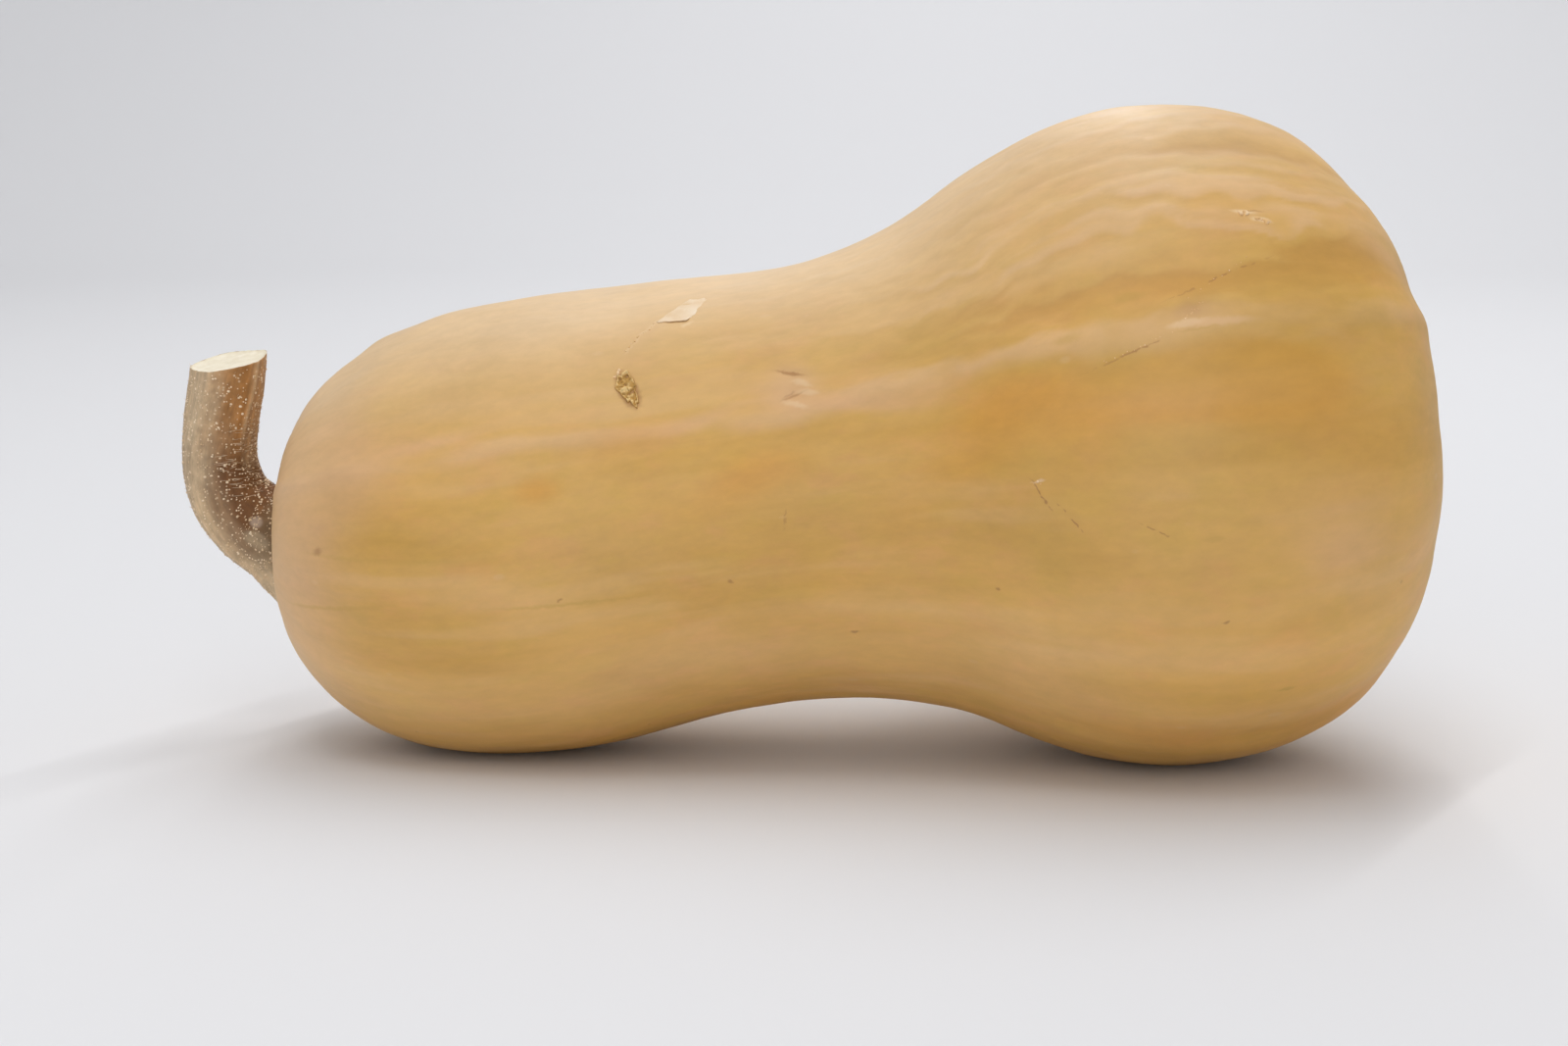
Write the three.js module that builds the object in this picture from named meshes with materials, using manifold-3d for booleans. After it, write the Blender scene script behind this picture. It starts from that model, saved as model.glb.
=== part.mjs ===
// A butternut squash lying on its side, with the short dried stem it was cut from the vine with.
// Units are millimetres. +Z is up, +X runs from the stem towards the blossom end, and the surface
// that the squash lies on is z = 0. The fruit grew as one piece, so it is one closed solid. The
// stem is a second solid, seated on the fruit's hollowed stem end.

import * as THREE from 'three';
import { mergeVertices } from 'three/addons/utils/BufferGeometryUtils.js';
import Module from 'manifold-3d';

const wasm = await Module();
wasm.setup();

// ---------------------------------------------------------------- driving dimensions

// The line through the middle of the flesh, from the stem end to the blossom end: x, y, z.
// It climbs from the slim neck to the fat bulb, and both ends turn a little towards +Y.
const SPINE = [
  [2, 8, 43.5], [45, 2, 44.8], [95, -1, 54], [140, 0, 60.5], [185, 7, 66], [224, 21, 70.5],
];

// Half the fruit's thickness along that line: distance from the stem end, radius. It starts and
// ends on the line, in a shallow hollow at each end.
const OUTLINE = [
  [3, 0], [0.6, 8], [0.4, 14], [4, 25.5], [13, 35.4], [30, 43.7], [55, 46.4], [85, 44.4],
  [112, 44.6], [132, 49], [150, 58], [166, 64.4], [182, 67], [196, 65.6], [209, 60], [219, 49.5],
  [225.6, 36.5], [228.8, 24], [229.6, 12], [228.4, 4], [228, 0],
];

const WIDER_THAN_TALL = 1.02; // a lying squash settles a little broader than it is high
const LEAN = 0.1; // the outer side of the bend is the heavy one, so the squash lies rolled to it
const RINGS = 54; // rows of facets from end to end
const SIDES = 48; // facets around

// Shallow lengthwise furrows, as angles around the spine: 0 faces -Y and 90 faces up.
const FURROW_ANGLES = [-80, -53, -26, 3, 33, 62, 97, 133, 170, 206, 243];
const FURROW_HALF_WIDTH = 7; // degrees
const FURROW_DEPTH_NECK = 0.2;
const FURROW_DEPTH_BULB = 0.9;

// The middle line of the stem, from inside the fruit's end, out along the slope, then up.
const STEM_LINE = [
  [9.3, 9.4, 31.4], [3.9, 9, 36.2], [-1.7, 8, 41.2], [-7.8, 7.6, 44.9], [-12.1, 7.4, 49.7],
  [-14.2, 7.2, 57], [-13.7, 7, 65.5], [-12.1, 7, 74.9], [-10.6, 7, 88.3],
];
const STEM_RADIUS_BASE = 10.8;
const STEM_RADIUS_SHAFT = 7.7;
const STEM_RIDGES = 5; // a squash stem is five-angled
const STEM_RIDGE_HEIGHT = 0.055; // share of the radius
const STEM_RIDGE_START = -8.5; // degrees from the front at the base
const STEM_TWIST = 55; // degrees over its length
const STEM_RINGS = 30;
const STEM_SIDES = 30;

// The knife cut across the stem's top: its middle, and how it slopes up towards the fruit and
// down towards -Y.
const CUT_MIDDLE = [-11.5, 7, 78.9];
const CUT_SLOPE_X = 8; // degrees
const CUT_SLOPE_Y = 9; // degrees
const CUT_BLOCK = 40; // size of the block that is cut away

const SEAT_GAP = 0.3; // clearance between the stem and the flesh it is seated on

const SKIN_COLOUR = 0xc69a5e;
const STEM_COLOUR = 0x8a6a45;

// ---------------------------------------------------------------- helpers

const radians = THREE.MathUtils.degToRad;
const vector = ([x, y, z = 0]) => new THREE.Vector3(x, y, z);
const curveThrough = (points) => new THREE.CatmullRomCurve3(points.map(vector));

// The angle between two directions around the spine, in degrees, from 0 to 180.
const angleBetween = (a, b) => Math.abs(((a - b + 540) % 360) - 180);

// A closed mesh from rings of points. The first and last rings are each closed with a fan, to
// a point in the middle of the ring.
function closedRings(rings) {
  const count = rings[0].length;
  const points = rings.flat();
  const middles = [rings[0], rings.at(-1)].map((ring) => ring
    .reduce((sum, point) => sum.add(point), new THREE.Vector3())
    .divideScalar(count));
  const startPole = points.push(middles[0]) - 1;
  const endPole = points.push(middles[1]) - 1;
  const last = (rings.length - 1) * count;
  const faces = [];
  for (let i = 0; i < count; i += 1) {
    const j = (i + 1) % count;
    faces.push(startPole, i, j, endPole, last + j, last + i);
    for (let row = 0; row < last; row += count) {
      faces.push(row + i, row + count + i, row + j, row + j, row + count + i, row + count + j);
    }
  }
  const geometry = new THREE.BufferGeometry().setFromPoints(points);
  geometry.setIndex(faces);
  return geometry;
}

function toSolid(geometry) {
  const bare = new THREE.BufferGeometry();
  bare.setAttribute('position', geometry.getAttribute('position'));
  bare.setIndex(geometry.getIndex());
  const merged = mergeVertices(bare);
  return new wasm.Manifold(new wasm.Mesh({
    numProp: 3,
    vertProperties: new Float32Array(merged.getAttribute('position').array),
    triVerts: new Uint32Array(merged.getIndex().array),
  }));
}

function toGeometry(solid) {
  const mesh = solid.getMesh();
  const geometry = new THREE.BufferGeometry();
  geometry.setAttribute('position', new THREE.BufferAttribute(mesh.vertProperties, mesh.numProp));
  geometry.setIndex(new THREE.BufferAttribute(mesh.triVerts, 1));
  geometry.computeVertexNormals();
  return geometry;
}

function named(name, geometry, colour, roughness) {
  const material = new THREE.MeshStandardMaterial({ color: colour, roughness, metalness: 0 });
  const mesh = new THREE.Mesh(geometry, material);
  mesh.name = name;
  return mesh;
}

// ---------------------------------------------------------------- fruit

// The furrows are a trace on the neck and deepen over the bulb.
function furrowDepth(share, angle) {
  const bulb = THREE.MathUtils.smoothstep(share, 0.5, 0.9);
  const deepest = THREE.MathUtils.lerp(FURROW_DEPTH_NECK, FURROW_DEPTH_BULB, bulb);
  return FURROW_ANGLES.reduce((depth, furrow) => {
    const away = angleBetween(angle, furrow) / FURROW_HALF_WIDTH;
    return depth + deepest * Math.exp(-away * away);
  }, 0);
}

// Rings of the fruit's skin, swelled outwards by `grow`. Each ring stands square to the spine,
// and is flattened where it would sink below the surface it lies on.
function fruitRings(grow = 0) {
  const spine = curveThrough(SPINE);
  const length = spine.getLength();
  const outline = curveThrough(OUTLINE);
  const rings = [];
  for (let row = 1; row < RINGS; row += 1) {
    const along = outline.getPointAt(row / RINGS);
    const slope = outline.getTangentAt(row / RINGS);
    const distance = along.x - slope.y * grow;
    const radius = along.y + slope.x * grow;
    const share = THREE.MathUtils.clamp(distance / length, 0, 1);
    const tangent = spine.getTangentAt(share);
    const centre = spine.getPointAt(share).addScaledVector(tangent, distance - share * length);
    const side = tangent.clone().cross(new THREE.Vector3(0, 0, 1)).normalize();
    const up = side.clone().cross(tangent);
    const ring = [];
    for (let i = 0; i < SIDES; i += 1) {
      const angle = (360 * i) / SIDES;
      const shrink = Math.min(1, radius / FURROW_HALF_WIDTH / 3);
      const reach = radius - shrink * furrowDepth(share, angle);
      const point = centre.clone()
        .addScaledVector(side, WIDER_THAN_TALL * reach * Math.cos(radians(angle)))
        .addScaledVector(up, reach * Math.sin(radians(angle)));
      point.y += LEAN * (point.z - centre.z);
      point.z = Math.max(point.z, -grow);
      ring.push(point);
    }
    rings.push(ring);
  }
  return rings;
}

// ---------------------------------------------------------------- stem

// Rings of the stem: five rounded ridges that twist, on a shaft that spreads at its base.
function stemRings() {
  const line = curveThrough(STEM_LINE);
  const rings = [];
  for (let row = 0; row <= STEM_RINGS; row += 1) {
    const share = row / STEM_RINGS;
    const centre = line.getPointAt(share);
    const tangent = line.getTangentAt(share);
    const side = new THREE.Vector3(0, -1, 0).addScaledVector(tangent, tangent.y).normalize();
    const across = side.clone().cross(tangent);
    const spread = 1 - THREE.MathUtils.smoothstep(share, 0, 0.6);
    const radius = THREE.MathUtils.lerp(STEM_RADIUS_SHAFT, STEM_RADIUS_BASE, spread);
    const ring = [];
    for (let i = 0; i < STEM_SIDES; i += 1) {
      const angle = radians((360 * i) / STEM_SIDES);
      const ridges = Math.cos(STEM_RIDGES * (angle - radians(STEM_RIDGE_START - STEM_TWIST * share)));
      const reach = radius * (1 + STEM_RIDGE_HEIGHT * ridges);
      ring.push(centre.clone()
        .addScaledVector(side, reach * Math.cos(angle))
        .addScaledVector(across, reach * Math.sin(angle)));
    }
    rings.push(ring);
  }
  return rings;
}

// The block above the knife cut, its lower face on the cut.
function blockAboveCut() {
  const block = new THREE.BoxGeometry(CUT_BLOCK, CUT_BLOCK, CUT_BLOCK);
  block.translate(0, 0, CUT_BLOCK / 2);
  block.rotateX(radians(CUT_SLOPE_Y));
  block.rotateY(-radians(CUT_SLOPE_X));
  block.translate(...CUT_MIDDLE);
  return block;
}

function stemGeometry() {
  const flesh = toSolid(closedRings(fruitRings(SEAT_GAP)));
  const shaft = toSolid(closedRings(stemRings()));
  return toGeometry(shaft.subtract(flesh).subtract(toSolid(blockAboveCut())));
}

// ---------------------------------------------------------------- the whole squash

function fruitGeometry() {
  const geometry = closedRings(fruitRings());
  geometry.computeVertexNormals();
  return geometry;
}

const squash = new THREE.Group();
squash.add(named('fruit', fruitGeometry(), SKIN_COLOUR, 0.5));
squash.add(named('stem', stemGeometry(), STEM_COLOUR, 0.8));

// The origin is under the middle of the whole squash, on the surface it lies on.
const box = new THREE.Box3().setFromObject(squash);
const middle = box.getCenter(new THREE.Vector3());
squash.position.set(-middle.x, -middle.y, -box.min.z);

export default squash;
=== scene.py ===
# %% [markdown]
# # A butternut squash on a pale floor
#
# A butternut squash grows as one fruit: a long solid neck, a round bulb that holds the seeds, and a
# tan rind with faint lengthwise ribs. What is left of the vine is a short, dry, five-ridged stalk.
#
# The packed model gives the sizes and the place of both pieces. This lesson makes their finished
# surfaces: each one is a formula of two numbers, worked out on a grid with numpy, and each finish is
# a tree of shader nodes. No image is used anywhere.

import math

import bpy
import numpy as np
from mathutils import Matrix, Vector


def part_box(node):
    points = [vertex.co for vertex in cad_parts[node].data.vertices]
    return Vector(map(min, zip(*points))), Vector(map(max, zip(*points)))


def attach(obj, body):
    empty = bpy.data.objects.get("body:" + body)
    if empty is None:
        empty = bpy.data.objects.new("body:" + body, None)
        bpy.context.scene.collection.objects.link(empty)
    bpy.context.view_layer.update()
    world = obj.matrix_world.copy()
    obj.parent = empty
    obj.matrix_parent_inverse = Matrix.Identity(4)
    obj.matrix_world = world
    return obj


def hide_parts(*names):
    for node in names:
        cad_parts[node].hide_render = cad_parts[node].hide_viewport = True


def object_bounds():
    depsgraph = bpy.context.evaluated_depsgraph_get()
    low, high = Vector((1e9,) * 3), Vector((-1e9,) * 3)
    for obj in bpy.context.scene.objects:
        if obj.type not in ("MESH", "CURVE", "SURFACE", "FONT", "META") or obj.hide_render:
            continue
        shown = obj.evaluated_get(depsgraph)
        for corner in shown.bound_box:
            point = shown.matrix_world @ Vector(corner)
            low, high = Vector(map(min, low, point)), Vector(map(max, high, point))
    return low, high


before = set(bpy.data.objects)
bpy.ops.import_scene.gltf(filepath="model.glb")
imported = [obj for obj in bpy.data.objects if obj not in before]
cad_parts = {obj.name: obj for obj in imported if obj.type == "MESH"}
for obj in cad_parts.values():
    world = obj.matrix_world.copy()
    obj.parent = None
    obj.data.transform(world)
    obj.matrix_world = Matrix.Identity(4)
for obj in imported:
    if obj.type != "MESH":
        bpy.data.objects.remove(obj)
cad_low, cad_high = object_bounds()
fruit_low, fruit_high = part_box("fruit")
MM = 0.001
print("nodes:", list(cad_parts))
print("object size in mm:", [round(side / MM, 1) for side in cad_high - cad_low])

# %% [markdown]
# ## The view, the light and the floor
#
# Food is often shown in a white cove: paper that lies on the table and curves up at the back, so that
# there is no horizon. A flat plane would show its edge, and a world colour would take no shadow. So
# the cove is one surface of revolution: a flat disc whose edge rises in a smooth curve on every side,
# open at the top to a soft white sky. The camera looks slightly down at it.

# %% The camera
VIEW_AZIMUTH = math.radians(3.9)
VIEW_HEIGHT = math.radians(8.6)
VIEW_DISTANCE = 0.7
VIEW_SHIFT = Vector((-1.77, -5.7, -19.3)) * MM  # from the object's middle to the point looked at
LENS = 78.1
view_back = Vector((
    math.sin(VIEW_AZIMUTH) * math.cos(VIEW_HEIGHT),
    -math.cos(VIEW_AZIMUTH) * math.cos(VIEW_HEIGHT),
    math.sin(VIEW_HEIGHT),
))
object_middle = (cad_low + cad_high) / 2


def in_scene(name, data):
    """A new object of this data, linked into the scene."""
    thing = bpy.data.objects.new(name, data)
    bpy.context.scene.collection.objects.link(thing)
    return thing


camera = in_scene("view_camera", bpy.data.cameras.new("view_camera"))
camera.data.lens = LENS
camera.location = object_middle + VIEW_SHIFT + view_back * VIEW_DISTANCE
camera.rotation_euler = (-view_back).to_track_quat("-Z", "Y").to_euler()
bpy.context.scene.camera = camera
bpy.context.scene.view_settings.view_transform = "Standard"
print("camera at", [round(part, 3) for part in camera.location])

# %% [markdown]
# Three long ceiling lights give the fruit its bright back, the soft edge on its front shadow and the
# second, fainter shadow further out. A wide low light fills its front, and the open sky the rest. The
# light right over the fruit is kept out of reflections, where it would show as a hard streak.

# %% The lights
SKY_COLOUR = (0.97, 0.98, 1.0, 1)
SKY_STRENGTH = 0.435
LIGHTS = [
    # name, place, length, width, watts
    ("light_over", (0.05, 0.115, 1.25), 2.2, 0.05, 8.3),
    ("light_behind", (0.0, 0.8, 1.25), 2.4, 0.05, 3.7),
    ("light_back", (0.0, 1.1, 1.2), 1.8, 0.8, 3.4),
    ("light_front", (0.0, -1.2, 0.5), 3.2, 0.5, 9.8),
]

world = bpy.data.worlds.new("soft_sky")
bpy.context.scene.world = world
world.use_nodes = True
sky = world.node_tree.nodes["Background"]
sky.inputs["Color"].default_value = SKY_COLOUR
sky.inputs["Strength"].default_value = SKY_STRENGTH
for name, place, length, width, watts in LIGHTS:
    lamp = bpy.data.lights.new(name, "AREA")
    lamp.shape = "RECTANGLE"
    lamp.size = length
    lamp.size_y = width
    lamp.energy = watts
    light = in_scene(name, lamp)
    light.location = place
    light.rotation_euler = (Vector(place) - object_middle).to_track_quat("Z", "X").to_euler()
    light.visible_glossy = name != "light_over"
print("lights:", [row[0] for row in LIGHTS])

# %% [markdown]
# Every surface below is a grid of points. Its rows run along the shape, and its columns run round it
# and meet. One helper lists the faces between them, and one makes an object that lies at the origin
# with its place in its mesh. A piece of the squash also rides on the model's one body.

# %% A mesh from a grid of points
def grid_faces(rows, columns):
    """Corner numbers of the faces of a rows x columns grid that meets itself round.

    A face joins row r and column c with r + 1 and c + 1, and c + 1 wraps back to 0.
    """
    row, column = np.divmod(np.arange((rows - 1) * columns), columns)
    after = (column + 1) % columns
    here, above = row * columns, (row + 1) * columns
    return np.column_stack([here + column, above + column, above + after, here + after])


def new_piece(name, vertices, faces, slot=None):
    """A smooth object at the origin. With a slot it is a piece of the squash, and without, scenery."""
    mesh = bpy.data.meshes.new(name)
    mesh.from_pydata(vertices, [], faces)
    mesh.shade_smooth()
    piece = in_scene(name, mesh)
    if slot:
        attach(piece, "root")
    return piece


def smoothstep(low, high, value):
    """0 up to low, 1 from high on, and 3t^2 - 2t^3 between them. It falls if low is above high."""
    share = np.clip((value - low) / (high - low), 0, 1)
    return share * share * (3 - 2 * share)


def hump(value, low, rising, falling, high):
    """0 below low, 1 from rising to falling, 0 above high, smooth between them."""
    return smoothstep(low, rising, value) * smoothstep(high, falling, value)


def bell(value, half_width):
    """1 at 0, falling away on both sides: exp(-(value / half width)^2)."""
    return np.exp(-((value / half_width) ** 2))


print("a grid of 3 x 4 points has", len(grid_faces(3, 4)), "faces")

# %% [markdown]
# The cove is flat out to a radius and rises as a parabola beyond it, so that the paper leaves the floor
# without a crease. Its disc lies a hair below the fruit, because two faces in one plane would flicker.

# %% The cove
FLAT_RADIUS = 1.3
WALL_RADIUS = 2.4
WALL_HEIGHT = 1.6
FLOOR_DEPTH = -0.05 * MM
INNER_RADIUS = 0.02
PAPER_COLOUR = (0.735, 0.735, 0.75, 1)


def cove_surface(rows=60, columns=96):
    """A bowl: flat out to FLAT_RADIUS, then rising as H t^2, where t is the share of the way out."""
    distance = np.linspace(INNER_RADIUS, WALL_RADIUS, rows)
    rise = np.clip((distance - FLAT_RADIUS) / (WALL_RADIUS - FLAT_RADIUS), 0, 1)
    turn = np.linspace(0, 2 * np.pi, columns, endpoint=False)
    height = FLOOR_DEPTH + WALL_HEIGHT * rise**2
    x = distance[:, None] * np.cos(turn)
    y = distance[:, None] * np.sin(turn)
    return np.stack([x, y, np.broadcast_to(height[:, None], x.shape)], axis=-1)


cove_points = cove_surface()
cove_rows, cove_columns = cove_points.shape[:2]
cove_faces = grid_faces(cove_rows, cove_columns).tolist() + [list(range(cove_columns))]
cove = new_piece("paper_cove", cove_points.reshape(-1, 3), cove_faces)

paper = bpy.data.materials.new("white_paper")
paper.use_nodes = True
paper_shader = paper.node_tree.nodes["Principled BSDF"]
paper_shader.inputs["Base Color"].default_value = PAPER_COLOUR
paper_shader.inputs["Roughness"].default_value = 0.9
paper_shader.inputs["Specular IOR Level"].default_value = 0.2
cove.data.materials.append(paper)
print("cove:", len(cove_faces), "faces")

# %% [markdown]
# A body such as the fruit is closed by a single point at each end. Its map of places, along and
# round, is written beside it, because marks are later painted by those two numbers. Values that change
# slowly are stored at the vertices, where a material can read them by name.

# %% A closed mesh, and values on it
def closed_grid(name, slot, points, first_pole, last_pole, round_value=None, along_value=None):
    """Mesh of a grid of points, rows x columns x 3, that closes on itself round and at both ends.

    Faces point out where (step to the next row) x (step to the next column) does. If round_value
    (one more than the columns, so that the seam has both its values) and along_value (rows, and a
    value for each pole) are given, they are written to a UV map as (along, round).
    """
    rows, columns = points.shape[:2]
    quads = grid_faces(rows, columns)
    ring = np.arange(columns)
    ring_next = (ring + 1) % columns
    end_ring = (rows - 1) * columns
    first = rows * columns
    first_fan = np.column_stack([np.full(columns, first), ring, ring_next])
    last_fan = np.column_stack([end_ring + ring, np.full(columns, first + 1), end_ring + ring_next])
    vertices = np.vstack([points.reshape(-1, 3), [first_pole], [last_pole]])
    piece = new_piece(name, vertices, quads.tolist() + first_fan.tolist() + last_fan.tolist(), slot)
    if round_value is not None:
        row, column = np.divmod(np.arange(len(quads)), columns)
        near, far = along_value[row], along_value[row + 1]
        left, right = round_value[column], round_value[column + 1]
        corners = np.column_stack([near, left, far, left, far, right, near, right])
        here, after = round_value[:-1], round_value[1:]
        middle = (here + after) / 2
        first_row, last_row, first_end, last_end = (
            np.full(columns, along_value[index]) for index in (0, -3, -2, -1))
        first_corners = np.column_stack([first_end, middle, first_row, here, first_row, after])
        last_corners = np.column_stack([last_row, here, last_end, middle, last_row, after])
        uv = np.concatenate([block.ravel() for block in (corners, first_corners, last_corners)])
        piece.data.uv_layers.new(name="SurfaceMap").data.foreach_set("uv", uv.astype(np.float32))
    return piece


def write_values(piece, name, values):
    """Stores one number per vertex, or one vector per vertex, for the materials to read."""
    values = np.asarray(values, np.float32)
    kind, field = ("FLOAT_VECTOR", "vector") if values.ndim == 2 else ("FLOAT", "value")
    piece.data.attributes.new(name, kind, "POINT").data.foreach_set(field, values.ravel())


def with_poles(values, first, last):
    """A grid's values in vertex order, with those of the two poles at the end."""
    return np.concatenate([values.reshape(-1), [first, last]])


def triangles(piece):
    """How many triangles a piece's faces come to."""
    return sum(len(face.vertices) - 2 for face in piece.data.polygons)


print("a bell at its half width:", round(bell(1.0, 1.0), 3))

# %% [markdown]
# ## The form of the fruit
#
# The fruit is a round section carried along a gently bent spine, like a balloon blown on a wire. It
# could be sculpted, or lathed and then bent. A formula is chosen because the same few numbers give the
# body of the packed model, and because every later mark can be placed on the skin by two numbers: how
# far along it is, and how far round.

# %% A smooth curve through a few points
def follow(where, along, values):
    """Reads each column of values at the places where, along the steps of along."""
    return np.stack([np.interp(where, along, column) for column in values.T], axis=-1)


def unit(vectors):
    """The same directions, one long."""
    return vectors / np.linalg.norm(vectors, axis=-1, keepdims=True)


def smooth_curve(points, count):
    """Centripetal Catmull-Rom curve through points in mm, as count points evenly spaced by length.

    Between two neighbours it is the cubic whose end slopes come from the points on either side,
    weighted by the square roots of their distances. Each end of the list is continued straight by
    one more point. Returns the points and the distance of each along the curve, in metres.
    """
    points = np.array(points) * MM
    padded = np.vstack([2 * points[0] - points[1], points, 2 * points[-1] - points[-2]])
    place = np.linspace(0, len(points) - 1, 10 * count)
    first = np.minimum(place.astype(int), len(points) - 2)
    t = (place - first)[:, None]
    p0, p1, p2, p3 = (padded[first + step] for step in range(4))
    gap_before, gap, gap_after = (
        np.linalg.norm(end - start, axis=1)[:, None] ** 0.5
        for start, end in ((p0, p1), (p1, p2), (p2, p3)))
    slope1 = ((p1 - p0) / gap_before - (p2 - p0) / (gap_before + gap) + (p2 - p1) / gap) * gap
    slope2 = ((p2 - p1) / gap - (p3 - p1) / (gap + gap_after) + (p3 - p2) / gap_after) * gap
    curve = (2 * t**3 - 3 * t**2 + 1) * p1 + (3 * t**2 - 2 * t**3) * p2
    curve += (t**3 - 2 * t**2 + t) * slope1 + (t**3 - t**2) * slope2
    along = np.concatenate([[0], np.cumsum(np.linalg.norm(np.diff(curve, axis=0), axis=1))])
    even = np.linspace(0, along[-1], count)
    return follow(even, along, curve), even


# Middle of the flesh from stalk to blossom end, in mm from the neck's tip, the packed model's own.
SPINE = [(2, 8, 43.5), (45, 2, 44.8), (95, -1, 54), (140, 0, 60.5), (185, 7, 66), (224, 21, 70.5)]
# Distance along the spine and radius there, in mm, from the stalk's hollow to the blossom's.
OUTLINE = [
    (3, 0), (0.6, 8), (0.4, 14), (4, 25.5), (13, 35.4), (30, 43.7), (55, 46.4), (85, 44.4),
    (112, 44.6), (132, 49), (150, 58), (166, 64.4), (182, 67), (196, 65.6), (209, 60),
    (219, 49.5), (225.6, 36.5), (228.8, 24), (229.6, 12), (228.4, 4), (228, 0),
]
WIDER_THAN_TALL = 1.02
LEAN = 0.1

spine, spine_along = smooth_curve(SPINE, 2001)
spine_heading = np.gradient(spine, spine_along, axis=0)
outline, outline_along = smooth_curve(OUTLINE, 4001)
SKIN_LENGTH = outline_along[-1]
print("skin from end to end:", round(SKIN_LENGTH / MM, 1), "mm")

# %% The bare body
def radius_at(share):
    """Radius of the body at a share of the way along its outline, 0 at the stalk and 1 at the blossom."""
    return np.interp(share * SKIN_LENGTH, outline_along, outline[:, 1])


def body_point(share, angle, rise):
    """Point of the body: centre on the spine + reach x (cos of the angle sideways + sin upwards).

    share and angle say where. 0 degrees faces the front, 90 the top. Reach is the outline's radius
    and rise, the skin's own relief. The section leans with height, and rests flat on the floor.
    """
    distance = np.interp(share * SKIN_LENGTH, outline_along, outline[:, 0])
    held = np.clip(distance, 0, spine_along[-1])
    heading = unit(follow(held, spine_along, spine_heading))
    centre = follow(held, spine_along, spine) + (distance - held)[..., None] * heading
    side = unit(np.cross(heading, (0, 0, 1)))
    up = np.cross(side, heading)
    reach = radius_at(share) + rise
    across = WIDER_THAN_TALL * reach * np.cos(np.radians(angle))
    above = reach * np.sin(np.radians(angle))
    point = centre + across[..., None] * side + above[..., None] * up
    point[..., 1] += LEAN * (point[..., 2] - centre[..., 2])
    point[..., 2] = np.maximum(point[..., 2], 0)
    return point


trial_share, trial_angle = np.meshgrid(np.linspace(0, 1, 300), np.arange(0, 360, 2.0), indexing="ij")
trial = body_point(trial_share, trial_angle, 0.0).reshape(-1, 3)
HOME = np.array((fruit_low + fruit_high) / 2) - (trial.min(0) + trial.max(0)) / 2
HOME[2] = 0
print("body moved home by", (HOME / MM).round(2), "mm")

# %% [markdown]
# ## The relief of the skin
#
# A squash has ten or so faint ribs. They are strong where the bulb closes at the blossom and fade out
# on the neck, they sway a little, and their height comes and goes. Between them the skin is softly
# uneven, as if it had been squeezed while it grew. All of this is a height to add to the radius, a
# sum of bell curves and seeded waves, so the ribs are real shape and show in the outline too.

# %% Ribs and furrows
# Angle, half width (degrees), height on the neck, on the bulb (mm), and share where the bulb's begins.
RIBS = [
    (25.0, 3.1, 0.52, 0.74, 0.45), (34.8, 4.8, -0.12, -1.05, 0.44), (48.0, 8.0, 0.00, 0.40, 0.48),
    (61.5, 4.8, -0.12, -0.60, 0.46), (76.0, 7.0, 0.00, 0.25, 0.50), (97.0, 7.0, -0.20, -0.55, 0.50),
    (133.0, 7.0, -0.20, -0.90, 0.50), (170.0, 7.5, -0.20, -0.95, 0.50), (206.0, 7.0, -0.20, -0.90, 0.50),
    (243.0, 6.5, -0.15, -0.85, 0.50), (280.0, 6.5, -0.15, -0.70, 0.55), (307.0, 6.5, -0.10, -0.60, 0.60),
    (333.5, 6.0, -0.06, -0.70, 0.62), (3.5, 6.0, -0.04, -0.70, 0.68),
]
RIB_SEED = 11
GROWS_OVER = 0.3  # share of the length over which a rib goes from its neck height to its bulb height
SWAYS = [(1.1, 13.0), (0.6, 5.2)]  # degrees, and mm along the fruit for one radian of the wave
SWELLS = [(0.3, 9.0), (0.2, 4.1)]  # share of the height, and the same
END_RADIUS = 21 * MM


def turned(angle, towards):
    """The angle from towards, brought between -180 and 180 degrees."""
    return (angle - towards + 180) % 360 - 180


def end_fade(share):
    """Relief fades where the body closes: its radius / END_RADIUS, at most 1."""
    return np.clip(radius_at(share) / END_RADIUS, 0, 1)


def rib_height(share, angle):
    """Sum over the ribs of height x bell(angle from the rib's swaying middle), in metres."""
    draw = np.random.default_rng(RIB_SEED)
    along = share * SKIN_LENGTH / MM
    height = np.zeros(np.broadcast(share, angle).shape)
    for middle, half_width, on_neck, on_bulb, starts in RIBS:
        phase = draw.uniform(0, 2 * np.pi, 4)
        sway, swell = (
            sum((size * np.sin(along / pace + start) for (size, pace), start in zip(waves, starts_at)), base)
            for waves, starts_at, base in ((SWAYS, phase[:2], 0), (SWELLS, phase[2:], 1)))
        grown = smoothstep(starts, starts + GROWS_OVER, share)
        tall = on_neck * (1 - grown) + on_bulb * grown
        height += tall * swell * bell(turned(angle, middle + sway), half_width)
    return height * end_fade(share) * MM


print("tallest rib:", round(rib_height(trial_share, trial_angle).max() / MM, 2), "mm")

# %% [markdown]
# Waves with seeded directions make the unevenness. They are measured in "flow" space: distance along
# the skin, and a circle of one fixed radius for the way round. There the pattern has no seam, and it
# runs lengthwise as the growth of the fruit does.

# %% Soft unevenness
FLOW_RADIUS = 50 * MM
WAVE_PEAK = 1.6  # how far a sum of waves goes above its own spread
LOBE_STEPS = [(8.0, 0.27), (3.7, 0.14)]  # degrees from one terrace to the next, and height in mm
STEEP_PART = 0.3  # share of a terrace that its steep lower edge takes up
TERRACE_MEAN = 0.4


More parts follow.
